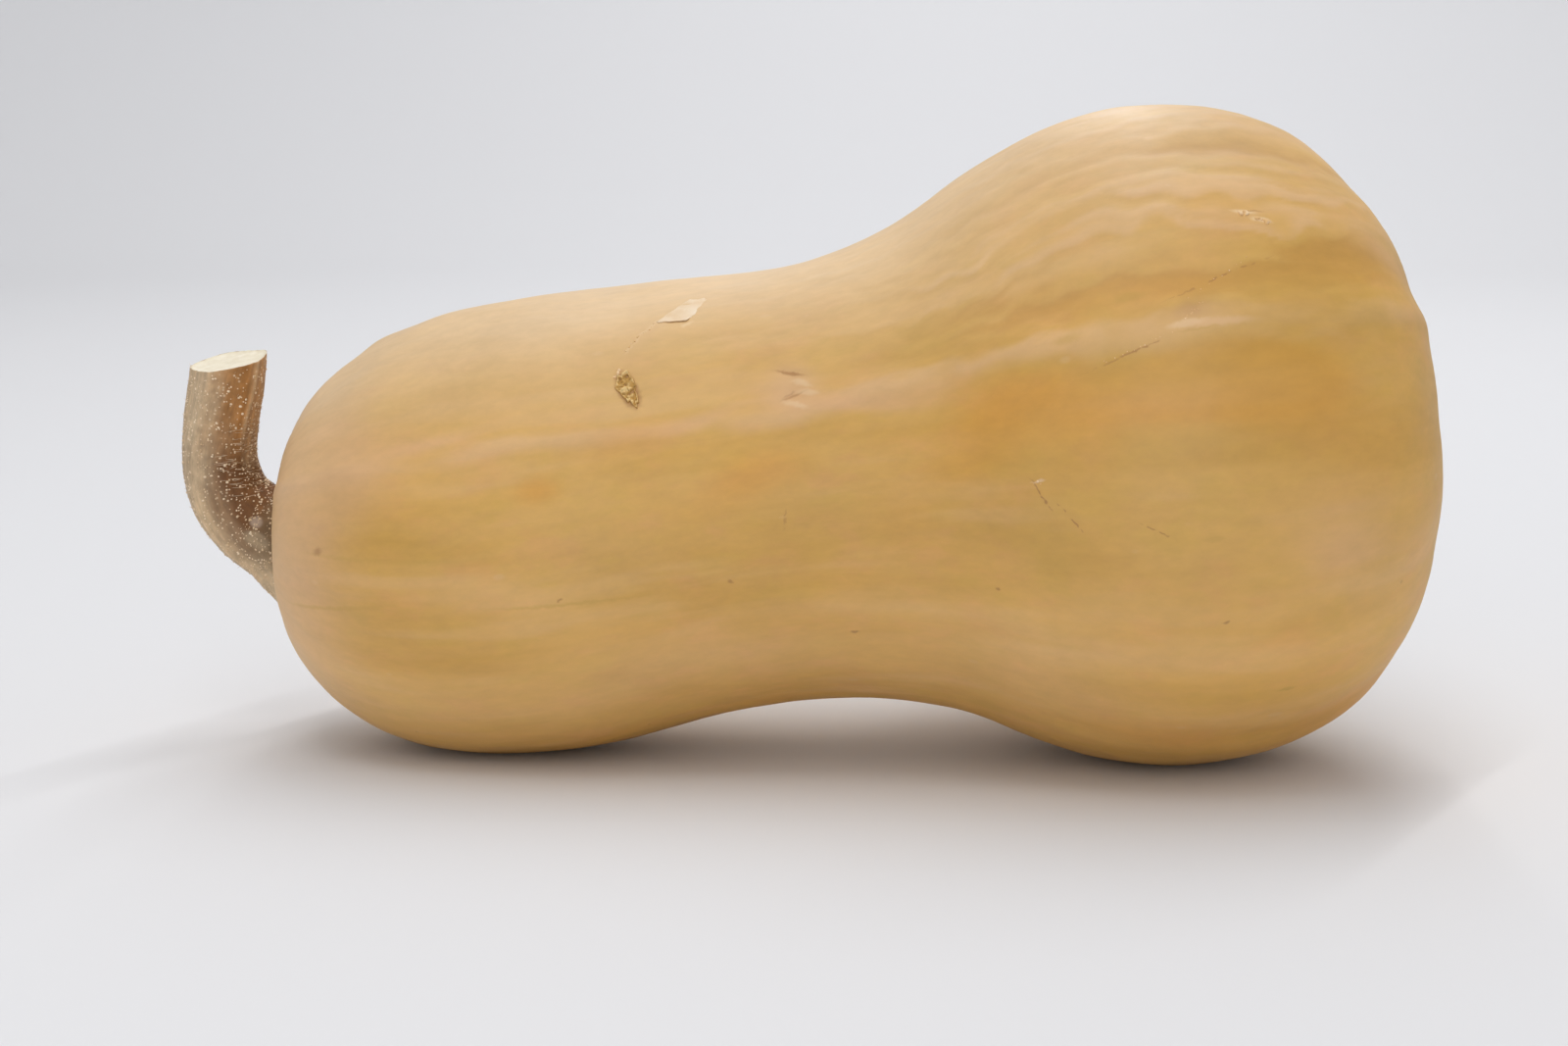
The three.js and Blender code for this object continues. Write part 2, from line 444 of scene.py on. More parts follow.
def flow_space(along, angle, radius):
    """(distance along, R cos angle, R sin angle) with one fixed radius R, in metres."""
    along, turn = np.broadcast_arrays(along, np.radians(angle))
    return np.stack([along, radius * np.cos(turn), radius * np.sin(turn)], axis=-1)


def skin_flow_at(share, angle):
    """Flow space of the fruit's skin."""
    return flow_space(share * SKIN_LENGTH, angle, FLOW_RADIUS)


def soft_waves(flow, long_mm, wide_mm, seed, count=28):
    """Sum of sine waves with seeded directions and phases, about -1 to 1. They are long_mm from
    crest to crest lengthwise, and wide_mm round the fruit."""
    draw = np.random.default_rng(seed)
    heading = unit(draw.normal(size=(count, 3)))
    pace = draw.uniform(0.6, 1.5, (count, 1))
    numbers = 2 * np.pi * pace * heading / (np.array([long_mm, wide_mm, wide_mm]) * MM)
    phase = draw.uniform(0, 2 * np.pi, count)
    return np.sin(flow @ numbers.T + phase).sum(axis=-1) * (2 / count) ** 0.5 / WAVE_PEAK


def layers_of(flow, *layers):
    """Sum over layers of (size, long_mm, wide_mm, seed) of size x soft_waves."""
    return sum(size * soft_waves(flow, *lengths_and_seed) for size, *lengths_and_seed in layers)


def unevenness(share, angle):
    """Broad swells, then shorter ripples, in metres."""
    waves = layers_of(skin_flow_at(share, angle), (0.22, 55, 26, 21), (0.07, 15, 7.5, 22))
    return waves * end_fade(share) * MM


def lobes(share, angle):
    """Scalloped terraces that lie along the ribs, broad ones and narrow ones, in metres.

    place = angle / step + a seeded drift, and its fraction s gives one terrace: a steep lower edge,
    smoothstep(0, e, s), times a long slope back, 1 - smoothstep(e, 1, s), less their mean. The
    terraces are strongest on the upper side of the bulb and nearly gone on the front.
    """
    flow = skin_flow_at(share, angle)
    drift = layers_of(flow, (0.40, 60, 30, 23), (0.19, 9, 9, 24))
    terraces = 0.0
    for step, height in LOBE_STEPS:
        place = angle / step + drift
        along = place - np.floor(place)
        rising, falling = smoothstep(0, STEEP_PART, along), 1 - smoothstep(STEEP_PART, 1, along)
        terraces = terraces + height * (rising * falling - TERRACE_MEAN)
        drift = 1.6 * drift + 0.15 * soft_waves(flow, 14, 6, seed=25)
    upper = bell(turned(angle, 52), 27) + 0.3 * bell(turned(angle, 190), 60)
    on_bulb = 0.25 + 0.75 * smoothstep(0.42, 0.60, share) - 0.75 * smoothstep(0.71, 0.84, share)
    return terraces * (0.18 + 0.82 * upper) * on_bulb * end_fade(share) * MM


print("terraces up to", round(lobes(trial_share, trial_angle).max() / MM, 2), "mm")

# %% [markdown]
# A few things have happened to this fruit: a knock has left a cluster of small dents on the neck, a
# ridge of old scar stands on its back, and it has grown a little fuller or slimmer in places. Each is
# a stretched bell curve at its own spot. The colours below are spread over the skin in the same way.

# %% Dents and bumps
# Share, angle (degrees), half length, half width (mm), height (mm), turn (degrees).
KNOCKS = [
    (0.4548, 34.7, 2.2, 0.70, -0.45, -24), (0.4555, 28.6, 2.2, 0.75, -0.40, 20),
    (0.4610, 31.6, 1.6, 0.80, 0.22, -30), (0.4640, 28.8, 1.7, 0.80, 0.20, -20),
    (0.4500, 31.4, 2.0, 0.90, 0.16, -10), (0.4560, 26.0, 2.2, 0.80, 0.20, -25),
    (0.4500, 24.6, 1.6, 0.70, 0.14, -15), (0.4560, 30.5, 6.0, 5.5, -0.32, 0),
    (0.152, 84.0, 6.0, 3.2, 0.75, 8), (0.138, 84.0, 3.0, 4.0, -0.35, 0),
    (0.362, 37.5, 4.6, 2.6, -0.35, -62), (0.390, 61.0, 7.5, 3.0, -0.16, 18),
    (0.680, 27.0, 8.0, 2.6, -0.18, 6), (0.866, 43.0, 17.0, 23.0, 2.2, 0),
    (0.455, 84.0, 26.0, 24.0, -0.9, 0),
]


def spots(share, angle, table):
    """Sum over the table's rows of amount x exp(-(x / half length)^2 - (y / half width)^2).

    x and y run along and round the skin from the row's place, in mm, turned by its sixth number if
    it has one.
    """
    total = np.zeros(np.broadcast(share, angle).shape)
    for at_share, at_angle, half_length, half_width, amount, *turns in table:
        along = (share - at_share) * SKIN_LENGTH / MM
        sideways = np.radians(turned(angle, at_angle)) * radius_at(at_share) / MM
        turn = math.radians(sum(turns))
        cos, sin = math.cos(turn), math.sin(turn)
        x = (along * cos + sideways * sin) / half_length
        y = (sideways * cos - along * sin) / half_width
        total += amount * np.exp(-x * x - y * y)
    return total


def skin_point(share, angle):
    """Point of the finished skin, in the row frame."""
    share, angle = np.broadcast_arrays(share, angle)
    rise = rib_height(share, angle) + lobes(share, angle)
    rise = rise + unevenness(share, angle) + spots(share, angle, KNOCKS) * MM
    return body_point(share, angle, rise) + HOME


def skin_lifted(share, angle, lift):
    """Point that stands lift above the skin, along the skin's own normal."""
    share_step, angle_step = 0.0012, 0.4
    lengthwise = skin_point(share + share_step, angle) - skin_point(share - share_step, angle)
    sideways = skin_point(share, angle + angle_step) - skin_point(share, angle - angle_step)
    normal = unit(np.cross(lengthwise, sideways))
    return skin_point(share, angle) + np.asarray(lift)[..., None] * normal


print("dents and bumps:", len(KNOCKS))

# %% [markdown]
# The grid may hold about 190,000 triangles. Its rows and columns stand closer where the small dents
# are, and a little wider on the far side, by turning a density into places with a running sum.

# %% Build the skin
SKIN_ROWS = 288
SKIN_COLUMNS = 330
CLOSE_ANGLE = 20.0


def spaced_by(density, low, high, count):
    """count places from low to high whose spacing is in inverse proportion to density(place)."""
    fine = np.linspace(low, high, 4001)
    total = np.concatenate([[0], np.cumsum((density(fine)[1:] + density(fine)[:-1]) / 2)])
    return np.interp(np.linspace(0, total[-1], count), total, fine)


def row_density(share):
    """Closer among the dents, and at the two ends."""
    return 1 + 0.8 * (bell(share - 0.42, 0.07) + bell(share - 0.01, 0.03) + bell(share - 0.985, 0.03))


def column_density(angle):
    """Closer on the front, and wider at the back."""
    return 1 + 0.45 * np.cos(np.radians(angle - CLOSE_ANGLE))


skin_share = spaced_by(row_density, 0, 1, SKIN_ROWS + 2)[1:-1]
skin_angle = spaced_by(column_density, CLOSE_ANGLE - 180, CLOSE_ANGLE + 180, SKIN_COLUMNS + 1)
share_grid, angle_grid = np.meshgrid(skin_share, skin_angle[:-1], indexing="ij")
stalk_pole, blossom_pole = skin_point(np.array([0.0, 1.0]), 0.0)
squash_skin = closed_grid(
    "squash_skin",
    "skin",
    skin_point(share_grid, angle_grid),
    stalk_pole,
    blossom_pole,
    round_value=np.radians(skin_angle),
    along_value=np.concatenate([skin_share, [0, 1]]) * SKIN_LENGTH,
)
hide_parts("fruit")
print("skin:", triangles(squash_skin), "triangles")

# %% [markdown]
# ## The colour of the rind
#
# The rind is tan, but not one tan: the neck by the stalk blushes pink, patches of orange and of olive
# lie under a pale sheen painted on the top, crests are paler than furrows. Broad patches such as these
# are slow changes, so they are worked out at the vertices, from bell curves at named spots and seeded waves.

# %% Patches of tone
# Share, angle, half length, half width (mm), strength.
WARM_SPOTS = [
    (0.302, 11.5, 6, 3.6, 0.9), (0.422, 8.5, 15, 6, 0.55), (0.549, 9.0, 11, 7, 0.40),
    (0.693, 31.0, 16, 4, 0.6), (0.663, 12.0, 20, 9, 1.0), (0.705, 12.5, 14, 9, 1.0),
    (0.60, 18.0, 20, 5, 0.5), (0.72, -60, 30, 12, 0.7), (0.33, -75, 25, 12, 0.6),
    (0.50, 170, 30, 14, 0.6), (0.70, 205, 24, 16, 0.6), (0.35, 215, 18, 9, 0.6),
]
OLIVE_SPOTS = [
    (0.207, 11.0, 7, 3, 0.35), (0.26, 34.0, 14, 6, 0.45), (0.52, -8.0, 30, 7, 0.5),
    (0.40, -16, 30, 5, 0.4), (0.68, 41.0, 20, 4, 0.5), (0.74, 26.0, 14, 5, 0.5),
    (0.62, 150, 24, 9, 0.5), (0.25, 190, 16, 8, 0.5), (0.69, 18.0, 26, 13, 1.0),
]
ROSY_SPOTS = [
    (0.12, 10.0, 17, 40, 1.0), (0.17, 28.0, 22, 10, 0.6), (0.30, 56.0, 30, 12, 0.35),
    (0.735, -8.0, 9, 10, 0.7), (0.66, 68.0, 24, 10, 0.45), (0.13, 180, 17, 50, 0.8),
    (0.685, 26.5, 9, 2.6, 0.7), (0.456, 28.5, 5.0, 5.5, 0.8), (0.37, -38, 30, 9, 0.4),
    (0.58, -45, 18, 8, 0.4), (0.90, 10, 14, 30, 0.3), (0.64, 250, 24, 12, 0.5),
    # The next three are thin pale lines along the crest of the first rib, a rosy tone that is partly painted
    # highlight.
    (0.385, 26.0, 15, 1.7, 0.8), (0.24, 29.0, 12, 1.6, 0.6), (0.50, 24.0, 18, 2.0, 0.8),
    (0.80, 40.0, 12, 6, 0.6),
]

all_share = np.concatenate([share_grid.ravel(), [0, 1]])
all_angle = np.concatenate([angle_grid.ravel(), [0, 0]])
skin_flow = skin_flow_at(all_share, all_angle)
wavy = all_angle + 3 * soft_waves(skin_flow, 40, 30, seed=31)
patchy = 0.25 * soft_waves(skin_flow, 45, 18, seed=32)
write_values(squash_skin, "flow", skin_flow)
write_values(squash_skin, "warm", spots(all_share, wavy, WARM_SPOTS) + patchy)
write_values(squash_skin, "olive", spots(all_share, wavy, OLIVE_SPOTS) - patchy)
write_values(squash_skin, "rosy", spots(all_share, wavy, ROSY_SPOTS))
print("patches on", len(all_share), "vertices")

# %% [markdown]
# Three more values follow the form. `crest` says how high the skin stands between its furrows. The
# second is a painted highlight: a pale sheen over the top of the fruit, at its ends and in a low band
# on the front. The third is painted light and shade: it lifts the tone on the underside and near the
# ends, and lowers it on the upper shoulder of the bulb.

# %% Crests, a painted sheen, and painted light and shade
CREST_HEIGHT = 0.5 * MM
TOP_ANGLE = 92.0
folds = rib_height(all_share, all_angle) * (1 - 0.7 * smoothstep(0.73, 0.88, all_share))
folds = folds + 2.6 * lobes(all_share, all_angle)
write_values(squash_skin, "crest", folds / CREST_HEIGHT)

# Painted highlight: a pale sheen over the top of the fruit, in a low band on the front, and at both ends.
upward = smoothstep(16, 84, TOP_ANGLE - np.abs(turned(wavy, TOP_ANGLE)))
on_neck = 1.12 + 0.12 * smoothstep(0.42, 0.27, all_share)
bloom = on_neck * upward * (1 - 0.58 * smoothstep(0.50, 0.72, all_share))
low_band = 0.24 * bell(turned(wavy, -42), 16) * smoothstep(0.75, 0.55, all_share)
ends = 0.40 * smoothstep(0.84, 0.96, all_share) + 0.30 * smoothstep(0.20, 0.10, all_share)
write_values(squash_skin, "bloom", np.minimum(bloom + low_band + ends, 1))

# Painted light and shade: lighter on the underside and near the ends, darker on the bulb's upper shoulder.
underside = hump(turned(wavy, 0), -175, -130, -40, -8)
ends = 0.9 * smoothstep(0.74, 0.83, all_share) + 0.5 * smoothstep(0.17, 0.08, all_share)
shoulder = 0.6 * hump(all_share, 0.55, 0.65, 0.70, 0.80) * bell(turned(wavy, 68), 22)
write_values(squash_skin, "lighter", np.minimum(underside + ends - shoulder, 1))
print("bloom from", bloom.min().round(2), "to", bloom.max().round(2))

# %% [markdown]
# ## Shader helpers
#
# A finish is a tree of nodes. Writing each node and link by hand hides the idea, so a small helper
# class adds a node, sets its inputs by name and links whatever is already a socket.

# %% A short way to write node trees
class Tree:
    """Adds nodes to one node tree. Inputs that are sockets are linked, others are set."""

    def __init__(self, tree):
        self.tree = tree
        self.count = 0

    def put(self, socket, value):
        """Links the socket if value is one too, and sets it if not."""
        if isinstance(value, bpy.types.NodeSocket):
            self.tree.links.new(value, socket)
        else:
            socket.default_value = value

    def add(self, kind, inputs=None, **settings):
        node = self.tree.nodes.new(kind)
        node.location = (200 * (self.count % 12), -260 * (self.count // 12))
        self.count += 1
        for name, value in settings.items():
            setattr(node, name, value)
        for name, value in (inputs or {}).items():
            self.put(node.inputs[name], value)
        return node

    def math(self, operation, first, second):
        return self.add("ShaderNodeMath", {0: first, 1: second}, operation=operation).outputs[0]

    def vector(self, operation, first, second):
        return self.add("ShaderNodeVectorMath", {0: first, 1: second}, operation=operation).outputs[0]

    def mix(self, share, first, second, blend="MIX"):
        inputs = {0: share, 6: first, 7: second}
        return self.add("ShaderNodeMix", inputs, data_type="RGBA", blend_type=blend).outputs[2]

    def tint(self, colour, where, strength, paint):
        """The colour, taken towards paint by where x strength."""
        return self.mix(self.math("MULTIPLY", where, strength), colour, paint)

    def shaded(self, colour, grey):
        """The colour times a grey value."""
        same = self.add("ShaderNodeCombineColor", {0: grey, 1: grey, 2: grey}).outputs[0]
        return self.mix(1.0, colour, same, "MULTIPLY")

    def ramp(self, value, low, high, to_low=0.0, to_high=1.0, kind="SMOOTHSTEP"):
        return self.add("ShaderNodeMapRange", {
            "Value": value, "From Min": low, "From Max": high, "To Min": to_low, "To Max": to_high,
        }, interpolation_type=kind).outputs[0]

    def swing(self, noise, to_low, to_high, reach=0.25):
        """A noise from 0.5 - reach to 0.5 + reach, taken evenly to two other values."""
        return self.ramp(noise, 0.5 - reach, 0.5 + reach, to_low, to_high, "LINEAR")

    def attribute(self, name, output="Fac"):
        return self.add("ShaderNodeAttribute", attribute_name=name).outputs[output]

    def place(self):
        return self.add("ShaderNodeTexCoord").outputs["Object"]

    def noise(self, vector, scale, detail=2.0, roughness=0.5, output="Fac"):
        return self.add("ShaderNodeTexNoise", {
            "Vector": vector, "Scale": scale, "Detail": detail, "Roughness": roughness,
        }).outputs[output]

    def stretch(self, vector, lengthwise, place=(0, 0, 0)):
        return self.add("ShaderNodeMapping", {
            "Vector": vector, "Scale": (lengthwise, 1, 1), "Location": place,
        }).outputs[0]

    def group(self, group, **inputs):
        return self.add("ShaderNodeGroup", inputs, node_tree=group).outputs[0]


print("a tree can:", [name for name in vars(Tree) if not name.startswith("_")])

# %% [markdown]
# Three functions stand on that class: one starts a group that gives a mask, one a material on some
# pieces, and one feeds the finished colour, roughness and bump to the material's shader.

# %% A group, a material and its finish
def new_group(name, place_scale, **numbers):
    """A shader node group that gives one mask. Its inputs are a place, a scale and named numbers.

    Returns the group, its tree helper, the sockets of its inputs and the socket for the mask.
    """
    group = bpy.data.node_groups.new(name, "ShaderNodeTree")
    group.interface.new_socket("Place", in_out="INPUT", socket_type="NodeSocketVector")
    for label, value in {"Scale": place_scale, **numbers}.items():
        socket = group.interface.new_socket(label, in_out="INPUT", socket_type="NodeSocketFloat")
        socket.default_value = value
    group.interface.new_socket("Mask", in_out="OUTPUT", socket_type="NodeSocketFloat")
    tree = Tree(group)
    return group, tree, tree.add("NodeGroupInput").outputs, tree.add("NodeGroupOutput").inputs[0]


def new_material(name, *pieces):
    """A material on each of the pieces. Returns it, a tree helper for it and its Principled shader."""
    material = bpy.data.materials.new(name)
    material.use_nodes = True
    for piece in pieces:
        piece.data.materials.append(material)
    return material, Tree(material.node_tree), material.node_tree.nodes["Principled BSDF"]


def finish(tree, shader, colour, roughness, height=None, strength=0.0, depth_mm=0.0):
    """Feeds a material's shader: colour, roughness and, if a height is given, a bump of depth_mm."""
    tree.put(shader.inputs["Base Color"], colour)
    tree.put(shader.inputs["Roughness"], roughness)
    if height is not None:
        bump = {"Height": height, "Strength": strength, "Distance": depth_mm * MM}
        tree.put(shader.inputs["Normal"], tree.add("ShaderNodeBump", bump).outputs[0])


print("makers:", [maker.__name__ for maker in (new_group, new_material, finish)])

# %% [markdown]
# ### Effects that several finishes share
# - `flecks`: small scattered dots, of which only some are there. Each cell of a Voronoi texture has a
#   random colour: its red decides whether there is a dot, and its green how big it is.
# - `mottle`: a cloudy change between two values, from a noise.

# %% Node groups: flecks and mottle
fleck_group, tree, given, result = new_group("flecks", 100.0, Size=0.1, Share=0.3)
cells = tree.add("ShaderNodeTexVoronoi", {"Vector": given["Place"], "Scale": given["Scale"]})
chance = tree.add("ShaderNodeSeparateColor", {0: cells.outputs["Color"]})
there = tree.math("LESS_THAN", chance.outputs[0], given["Share"])
size = tree.math("MULTIPLY", given["Size"], tree.ramp(chance.outputs[1], 0.0, 1.0, 0.4, 1.3))
inside = tree.ramp(cells.outputs["Distance"], tree.math("MULTIPLY", size, 0.5), size, 1.0, 0.0)
tree.put(result, tree.math("MULTIPLY", inside, there))

mottle_group, tree, given, result = new_group("mottle", 50.0, Detail=3.0, Low=0.35, High=0.65)
cloud = tree.noise(given["Place"], given["Scale"], given["Detail"])
tree.put(result, tree.ramp(cloud, given["Low"], given["High"]))
print("shared groups:", [group.name for group in bpy.data.node_groups])

# %% [markdown]
# ### The rind
# The tan is built up in layers: a ground colour, broad tones from the vertices, among them a painted
# sheen and painted light and shade, and fine lengthwise mottling in flow space. A painted image would
# have an edge somewhere and one fixed fineness. This pattern goes all the way round, and is as fine as
# the view asks for.

# %% The rind's ground colour
# The pattern that a tone follows, where in it the tone starts and is full, its strength and colour.
RIND_TONES = [
    ("tint", 0.50, 0.68, 0.38, (0.66, 0.33, 0.105, 1)),
    ("tint", 0.48, 0.32, 0.35, (0.56, 0.34, 0.050, 1)),
    ("bands", 0.50, 0.68, 0.45, (0.69, 0.42, 0.17, 1)),
    ("bands", 0.48, 0.32, 0.40, (0.53, 0.285, 0.033, 1)),
    ("crest", 0.1, 1.5, 0.60, (0.69, 0.43, 0.22, 1)),
    ("crest", -0.1, -1.8, 0.68, (0.48, 0.230, 0.022, 1)),
    ("rosy", 0.05, 1.0, 0.62, (0.69, 0.40, 0.20, 1)),
    ("warm", 0.15, 1.0, 0.75, (0.62, 0.285, 0.035, 1)),
    ("olive", 0.10, 1.0, 0.50, (0.49, 0.280, 0.034, 1)),
]
SHEEN_PAINT = (0.72, 0.51, 0.29, 1)
DARK = (0.20, 0.075, 0.025, 1)
PALE = (0.72, 0.50, 0.30, 1)

rind, tree, shader = new_material("rind", squash_skin)
flow = tree.attribute("flow", "Vector")
lengthwise = tree.stretch(flow, 0.55)
fine = tree.noise(lengthwise, 520, 4, 0.65)
streaks = tree.noise(tree.stretch(flow, 0.22), 230, 3, 0.55)
clouds = tree.noise(flow, 55, 3, 0.55)
drift = tree.noise(tree.stretch(flow, 0.6, (3, 1, 2)), 24, 2, 0.5)
patterns = {name: tree.attribute(name) for name in ("crest", "rosy", "warm", "olive")}
patterns["tint"] = tree.noise(tree.stretch(flow, 0.6, (5, 4, 3)), 150, 4, 0.6)
patterns["bands"] = tree.noise(tree.stretch(flow, 0.14, (7, 2, 5)), 105, 3, 0.55)

colour = tree.mix(tree.ramp(drift, 0.3, 0.7), (0.580, 0.320, 0.062, 1), (0.630, 0.360, 0.085, 1))
for pattern, start, full, strength, paint in RIND_TONES:
    colour = tree.mix(tree.ramp(patterns[pattern], start, full, 0, strength), colour, paint)
# Painted highlight: the pale sheen over the top, the ends and the low front.
colour = tree.tint(colour, tree.attribute("bloom"), 0.9, SHEEN_PAINT)
shade = tree.math("ADD", tree.swing(fine, -0.055, 0.055), tree.swing(streaks, -0.025, 0.025))
shade = tree.math("ADD", shade, tree.swing(clouds, 0.95, 1.05))
# Painted light and shade: the tone is lifted on the underside and ends, and lowered on the bulb's shoulder.
shade = tree.math("ADD", shade, tree.math("MULTIPLY", tree.attribute("lighter"), 0.15))
colour = tree.shaded(colour, shade)
freckles = tree.group(fleck_group, Place=flow, Scale=130.0, Size=0.060, Share=0.12)
colour = tree.tint(colour, freckles, 0.30, DARK)
wax_grains = tree.group(fleck_group, Place=lengthwise, Scale=240.0, Size=0.16, Share=0.12)
colour = tree.tint(colour, wax_grains, 0.18, PALE)
print("ground colour:", len(rind.node_tree.nodes), "nodes")

# %% [markdown]
# Scratches, freckles and rubbed places are ovals painted one over another, each at its own place.

# %% The marks on the skin
BROWN = (0.30, 0.125, 0.035, 1)
RUST = (0.38, 0.175, 0.045, 1)
CREAM = (0.80, 0.60, 0.36, 1)
PINK = (0.66, 0.41, 0.21, 1)
OLIVE = (0.49, 0.295, 0.055, 1)
# Share, angle, half length, half width (mm), turn (degrees), softness, colour, strength.
MARKS = [
    # fine scratches and freckles on the front
    (0.5895, -0.7, 3.3, 0.14, -62, 0.6, BROWN, 0.75),
    (0.6035, -4.7, 3.6, 0.14, -58, 0.6, BROWN, 0.75),
    (0.588, 2.2, 1.2, 0.20, 10, 0.6, PALE, 0.7),
    (0.647, -7.5, 2.6, 0.14, -35, 0.6, BROWN, 0.6),
    (0.442, -2.0, 1.8, 0.22, 80, 0.6, BROWN, 0.4),
    (0.152, 2.5, 1.1, 0.75, 25, 0.8, BROWN, 0.50),
    (0.302, -12.5, 0.5, 0.28, 20, 0.6, BROWN, 0.55),
    (0.404, -16.0, 0.5, 0.30, -30, 0.6, BROWN, 0.55),
    (0.472, -34.5, 0.7, 0.30, 10, 0.6, DARK, 0.50),
    (0.558, -20.0, 0.35, 0.35, 0, 0.6, BROWN, 0.55),
    (0.679, -24.5, 0.45, 0.28, 30, 0.6, BROWN, 0.55),
    (0.711, -40.5, 1.2, 0.4, 10, 0.6, OLIVE, 0.45),
    (0.674, -9.5, 1.4, 0.45, 0, 0.6, OLIVE, 0.30),
    (0.308, -14.0, 12.0, 0.35, -6, 0.7, OLIVE, 0.4),
    (0.161, -13.5, 11.0, 0.5, 12, 0.7, OLIVE, 0.35),
    (0.200, 1.0, 15.0, 0.5, -2, 0.7, OLIVE, 0.3),
    # the rubbed place round the corky scar and the flake, with a dark oval under the scar and a painted
    # shadow under the flake's edge
    (0.3760, 57.6, 1.6, 0.38, 60, 0.6, CREAM, 0.45),
    (0.3705, 54.8, 1.1, 0.30, 35, 0.6, CREAM, 0.40),
    (0.3672, 52.4, 1.0, 0.28, 66, 0.6, CREAM, 0.35),
    (0.3625, 49.6, 1.3, 0.26, 58, 0.6, CREAM, 0.30),
    (0.3700, 53.6, 6.0, 2.0, 54, 0.8, PINK, 0.20),
    (0.3606, 37.4, 4.5, 1.80, -74, 0.30, BROWN, 0.65),
    # painted shadow under the flake's lifted lower edge
    (0.3865, 57.9, 2.5, 0.20, -14, 0.6, BROWN, 0.40),
    (0.3950, 56.0, 1.1, 0.40, 50, 0.6, CREAM, 0.50),
    # the cluster of dents, dark lines in them, and pale ovals on the bumps beside them
    (0.4546, 34.9, 2.4, 0.34, -24, 0.6, RUST, 0.85),
    (0.4560, 28.5, 2.2, 0.34, 16, 0.6, RUST, 0.80),
    (0.4530, 29.0, 1.2, 0.22, 24, 0.6, BROWN, 0.45),
    # painted highlights on the small bumps beside the dents
    (0.4610, 31.6, 1.8, 0.60, -30, 0.6, CREAM, 0.45),
    (0.4640, 28.8, 1.8, 0.60, -20, 0.6, CREAM, 0.45),
    (0.4560, 26.0, 2.2, 0.60, -25, 0.6, CREAM, 0.45),
    (0.4540, 29.0, 5.5, 4.5, -30, 0.8, PINK, 0.30),
    # the long scratch over the bulb and what lies along it
    (0.6950, 33.2, 6.6, 0.16, 22, 0.8, RUST, 0.80),
    (0.6490, 22.4, 6.6, 0.16, 17, 0.8, RUST, 0.80),
    (0.6790, 28.2, 2.4, 1.6, 30, 0.9, BROWN, 0.30),
    (0.6745, 25.7, 2.6, 0.75, 4, 0.5, CREAM, 0.55),
    (0.6880, 25.3, 5.0, 0.85, -3, 0.6, PINK, 0.65),
    (0.6790, 24.4, 3.0, 0.20, 2, 0.6, OLIVE, 0.45),
    (0.6640, 26.0, 9.0, 2.4, 8, 0.9, PINK, 0.40),
    (0.6494, 32.0, 2.4, 0.9, 5, 0.7, OLIVE, 0.45),
    (0.6144, 26.5, 2.2, 0.9, 5, 0.7, OLIVE, 0.40),
    (0.7150, 44.6, 1.5, 0.50, -20, 0.6, CREAM, 0.60),
    (0.7215, 42.8, 1.5, 0.50, -20, 0.6, CREAM, 0.60),
    (0.7180, 44.8, 1.8, 0.22, -14, 0.6, BROWN, 0.40),
]
print("marks:", len(MARKS))

# %% [markdown]
# A Mapping node of type Texture takes an oval to the unit circle, so that the length of its output
# tells inside from outside. The map of places is jittered by a noise first, which makes the edges
# ragged.

# %% Paint the marks
MAP_RADII = (46 * MM, 52 * MM, 65 * MM)  # the map of places is flattened at the nearest of these
JITTER = (1.1 * MM, 1.1 * MM, 0)
DASHED_FROM = 8  # a scratch this many times longer than wide is broken into dashes


def oval_mask(tree, flat_map, map_radius, at_share, at_angle, half_length, half_width, turn, softness):
    """1 inside an oval, 0 outside, and a smooth step between the two at 1 - and + its softness."""
    oval = tree.add("ShaderNodeMapping", {
        "Vector": flat_map,
        "Location": (at_share * SKIN_LENGTH, math.radians(at_angle) * map_radius, 0),
        "Rotation": (0, 0, math.radians(turn)),
        "Scale": (half_length * MM, half_width * MM, 1),
    }, vector_type="TEXTURE")
    reach = tree.add("ShaderNodeVectorMath", {0: oval.outputs[0]}, operation="LENGTH")
    return tree.ramp(reach.outputs["Value"], 1 - softness, 1 + softness, 1.0, 0.0)


surface_map = tree.add("ShaderNodeUVMap", uv_map="SurfaceMap").outputs[0]
ragged = tree.vector("SUBTRACT", tree.noise(flow, 900.0, output="Color"), (0.5, 0.5, 0.5))
ragged = tree.vector("MULTIPLY", ragged, JITTER)
flat_maps = [
    tree.vector("ADD", tree.vector("MULTIPLY", surface_map, (1, map_radius, 0)), ragged)
    for map_radius in MAP_RADII
]
dashes = tree.ramp(tree.noise(flow, 750, 1, 0.5), 0.42, 0.56)
scratched = 0.0
for *oval, paint, strength in MARKS:
    nearest = int(np.argmin([abs(radius_at(oval[0]) - map_radius) for map_radius in MAP_RADII]))
    mark = oval_mask(tree, flat_maps[nearest], MAP_RADII[nearest], *oval)
    mark = tree.math("MULTIPLY", mark, strength)
    if paint in (BROWN, RUST) and oval[2] > DASHED_FROM * oval[3]:
        mark = tree.math("MULTIPLY", mark, dashes)
    colour = tree.mix(mark, colour, paint)
    scratched = tree.math("MAXIMUM", mark, scratched)
print("with its marks:", len(rind.node_tree.nodes), "nodes")

# %% [markdown]
# The sheen is a soft satin, a little duller where the skin is scuffed. A fine grain and the pits of the
# freckles go into a bump, because they are far smaller than the faces of the mesh.

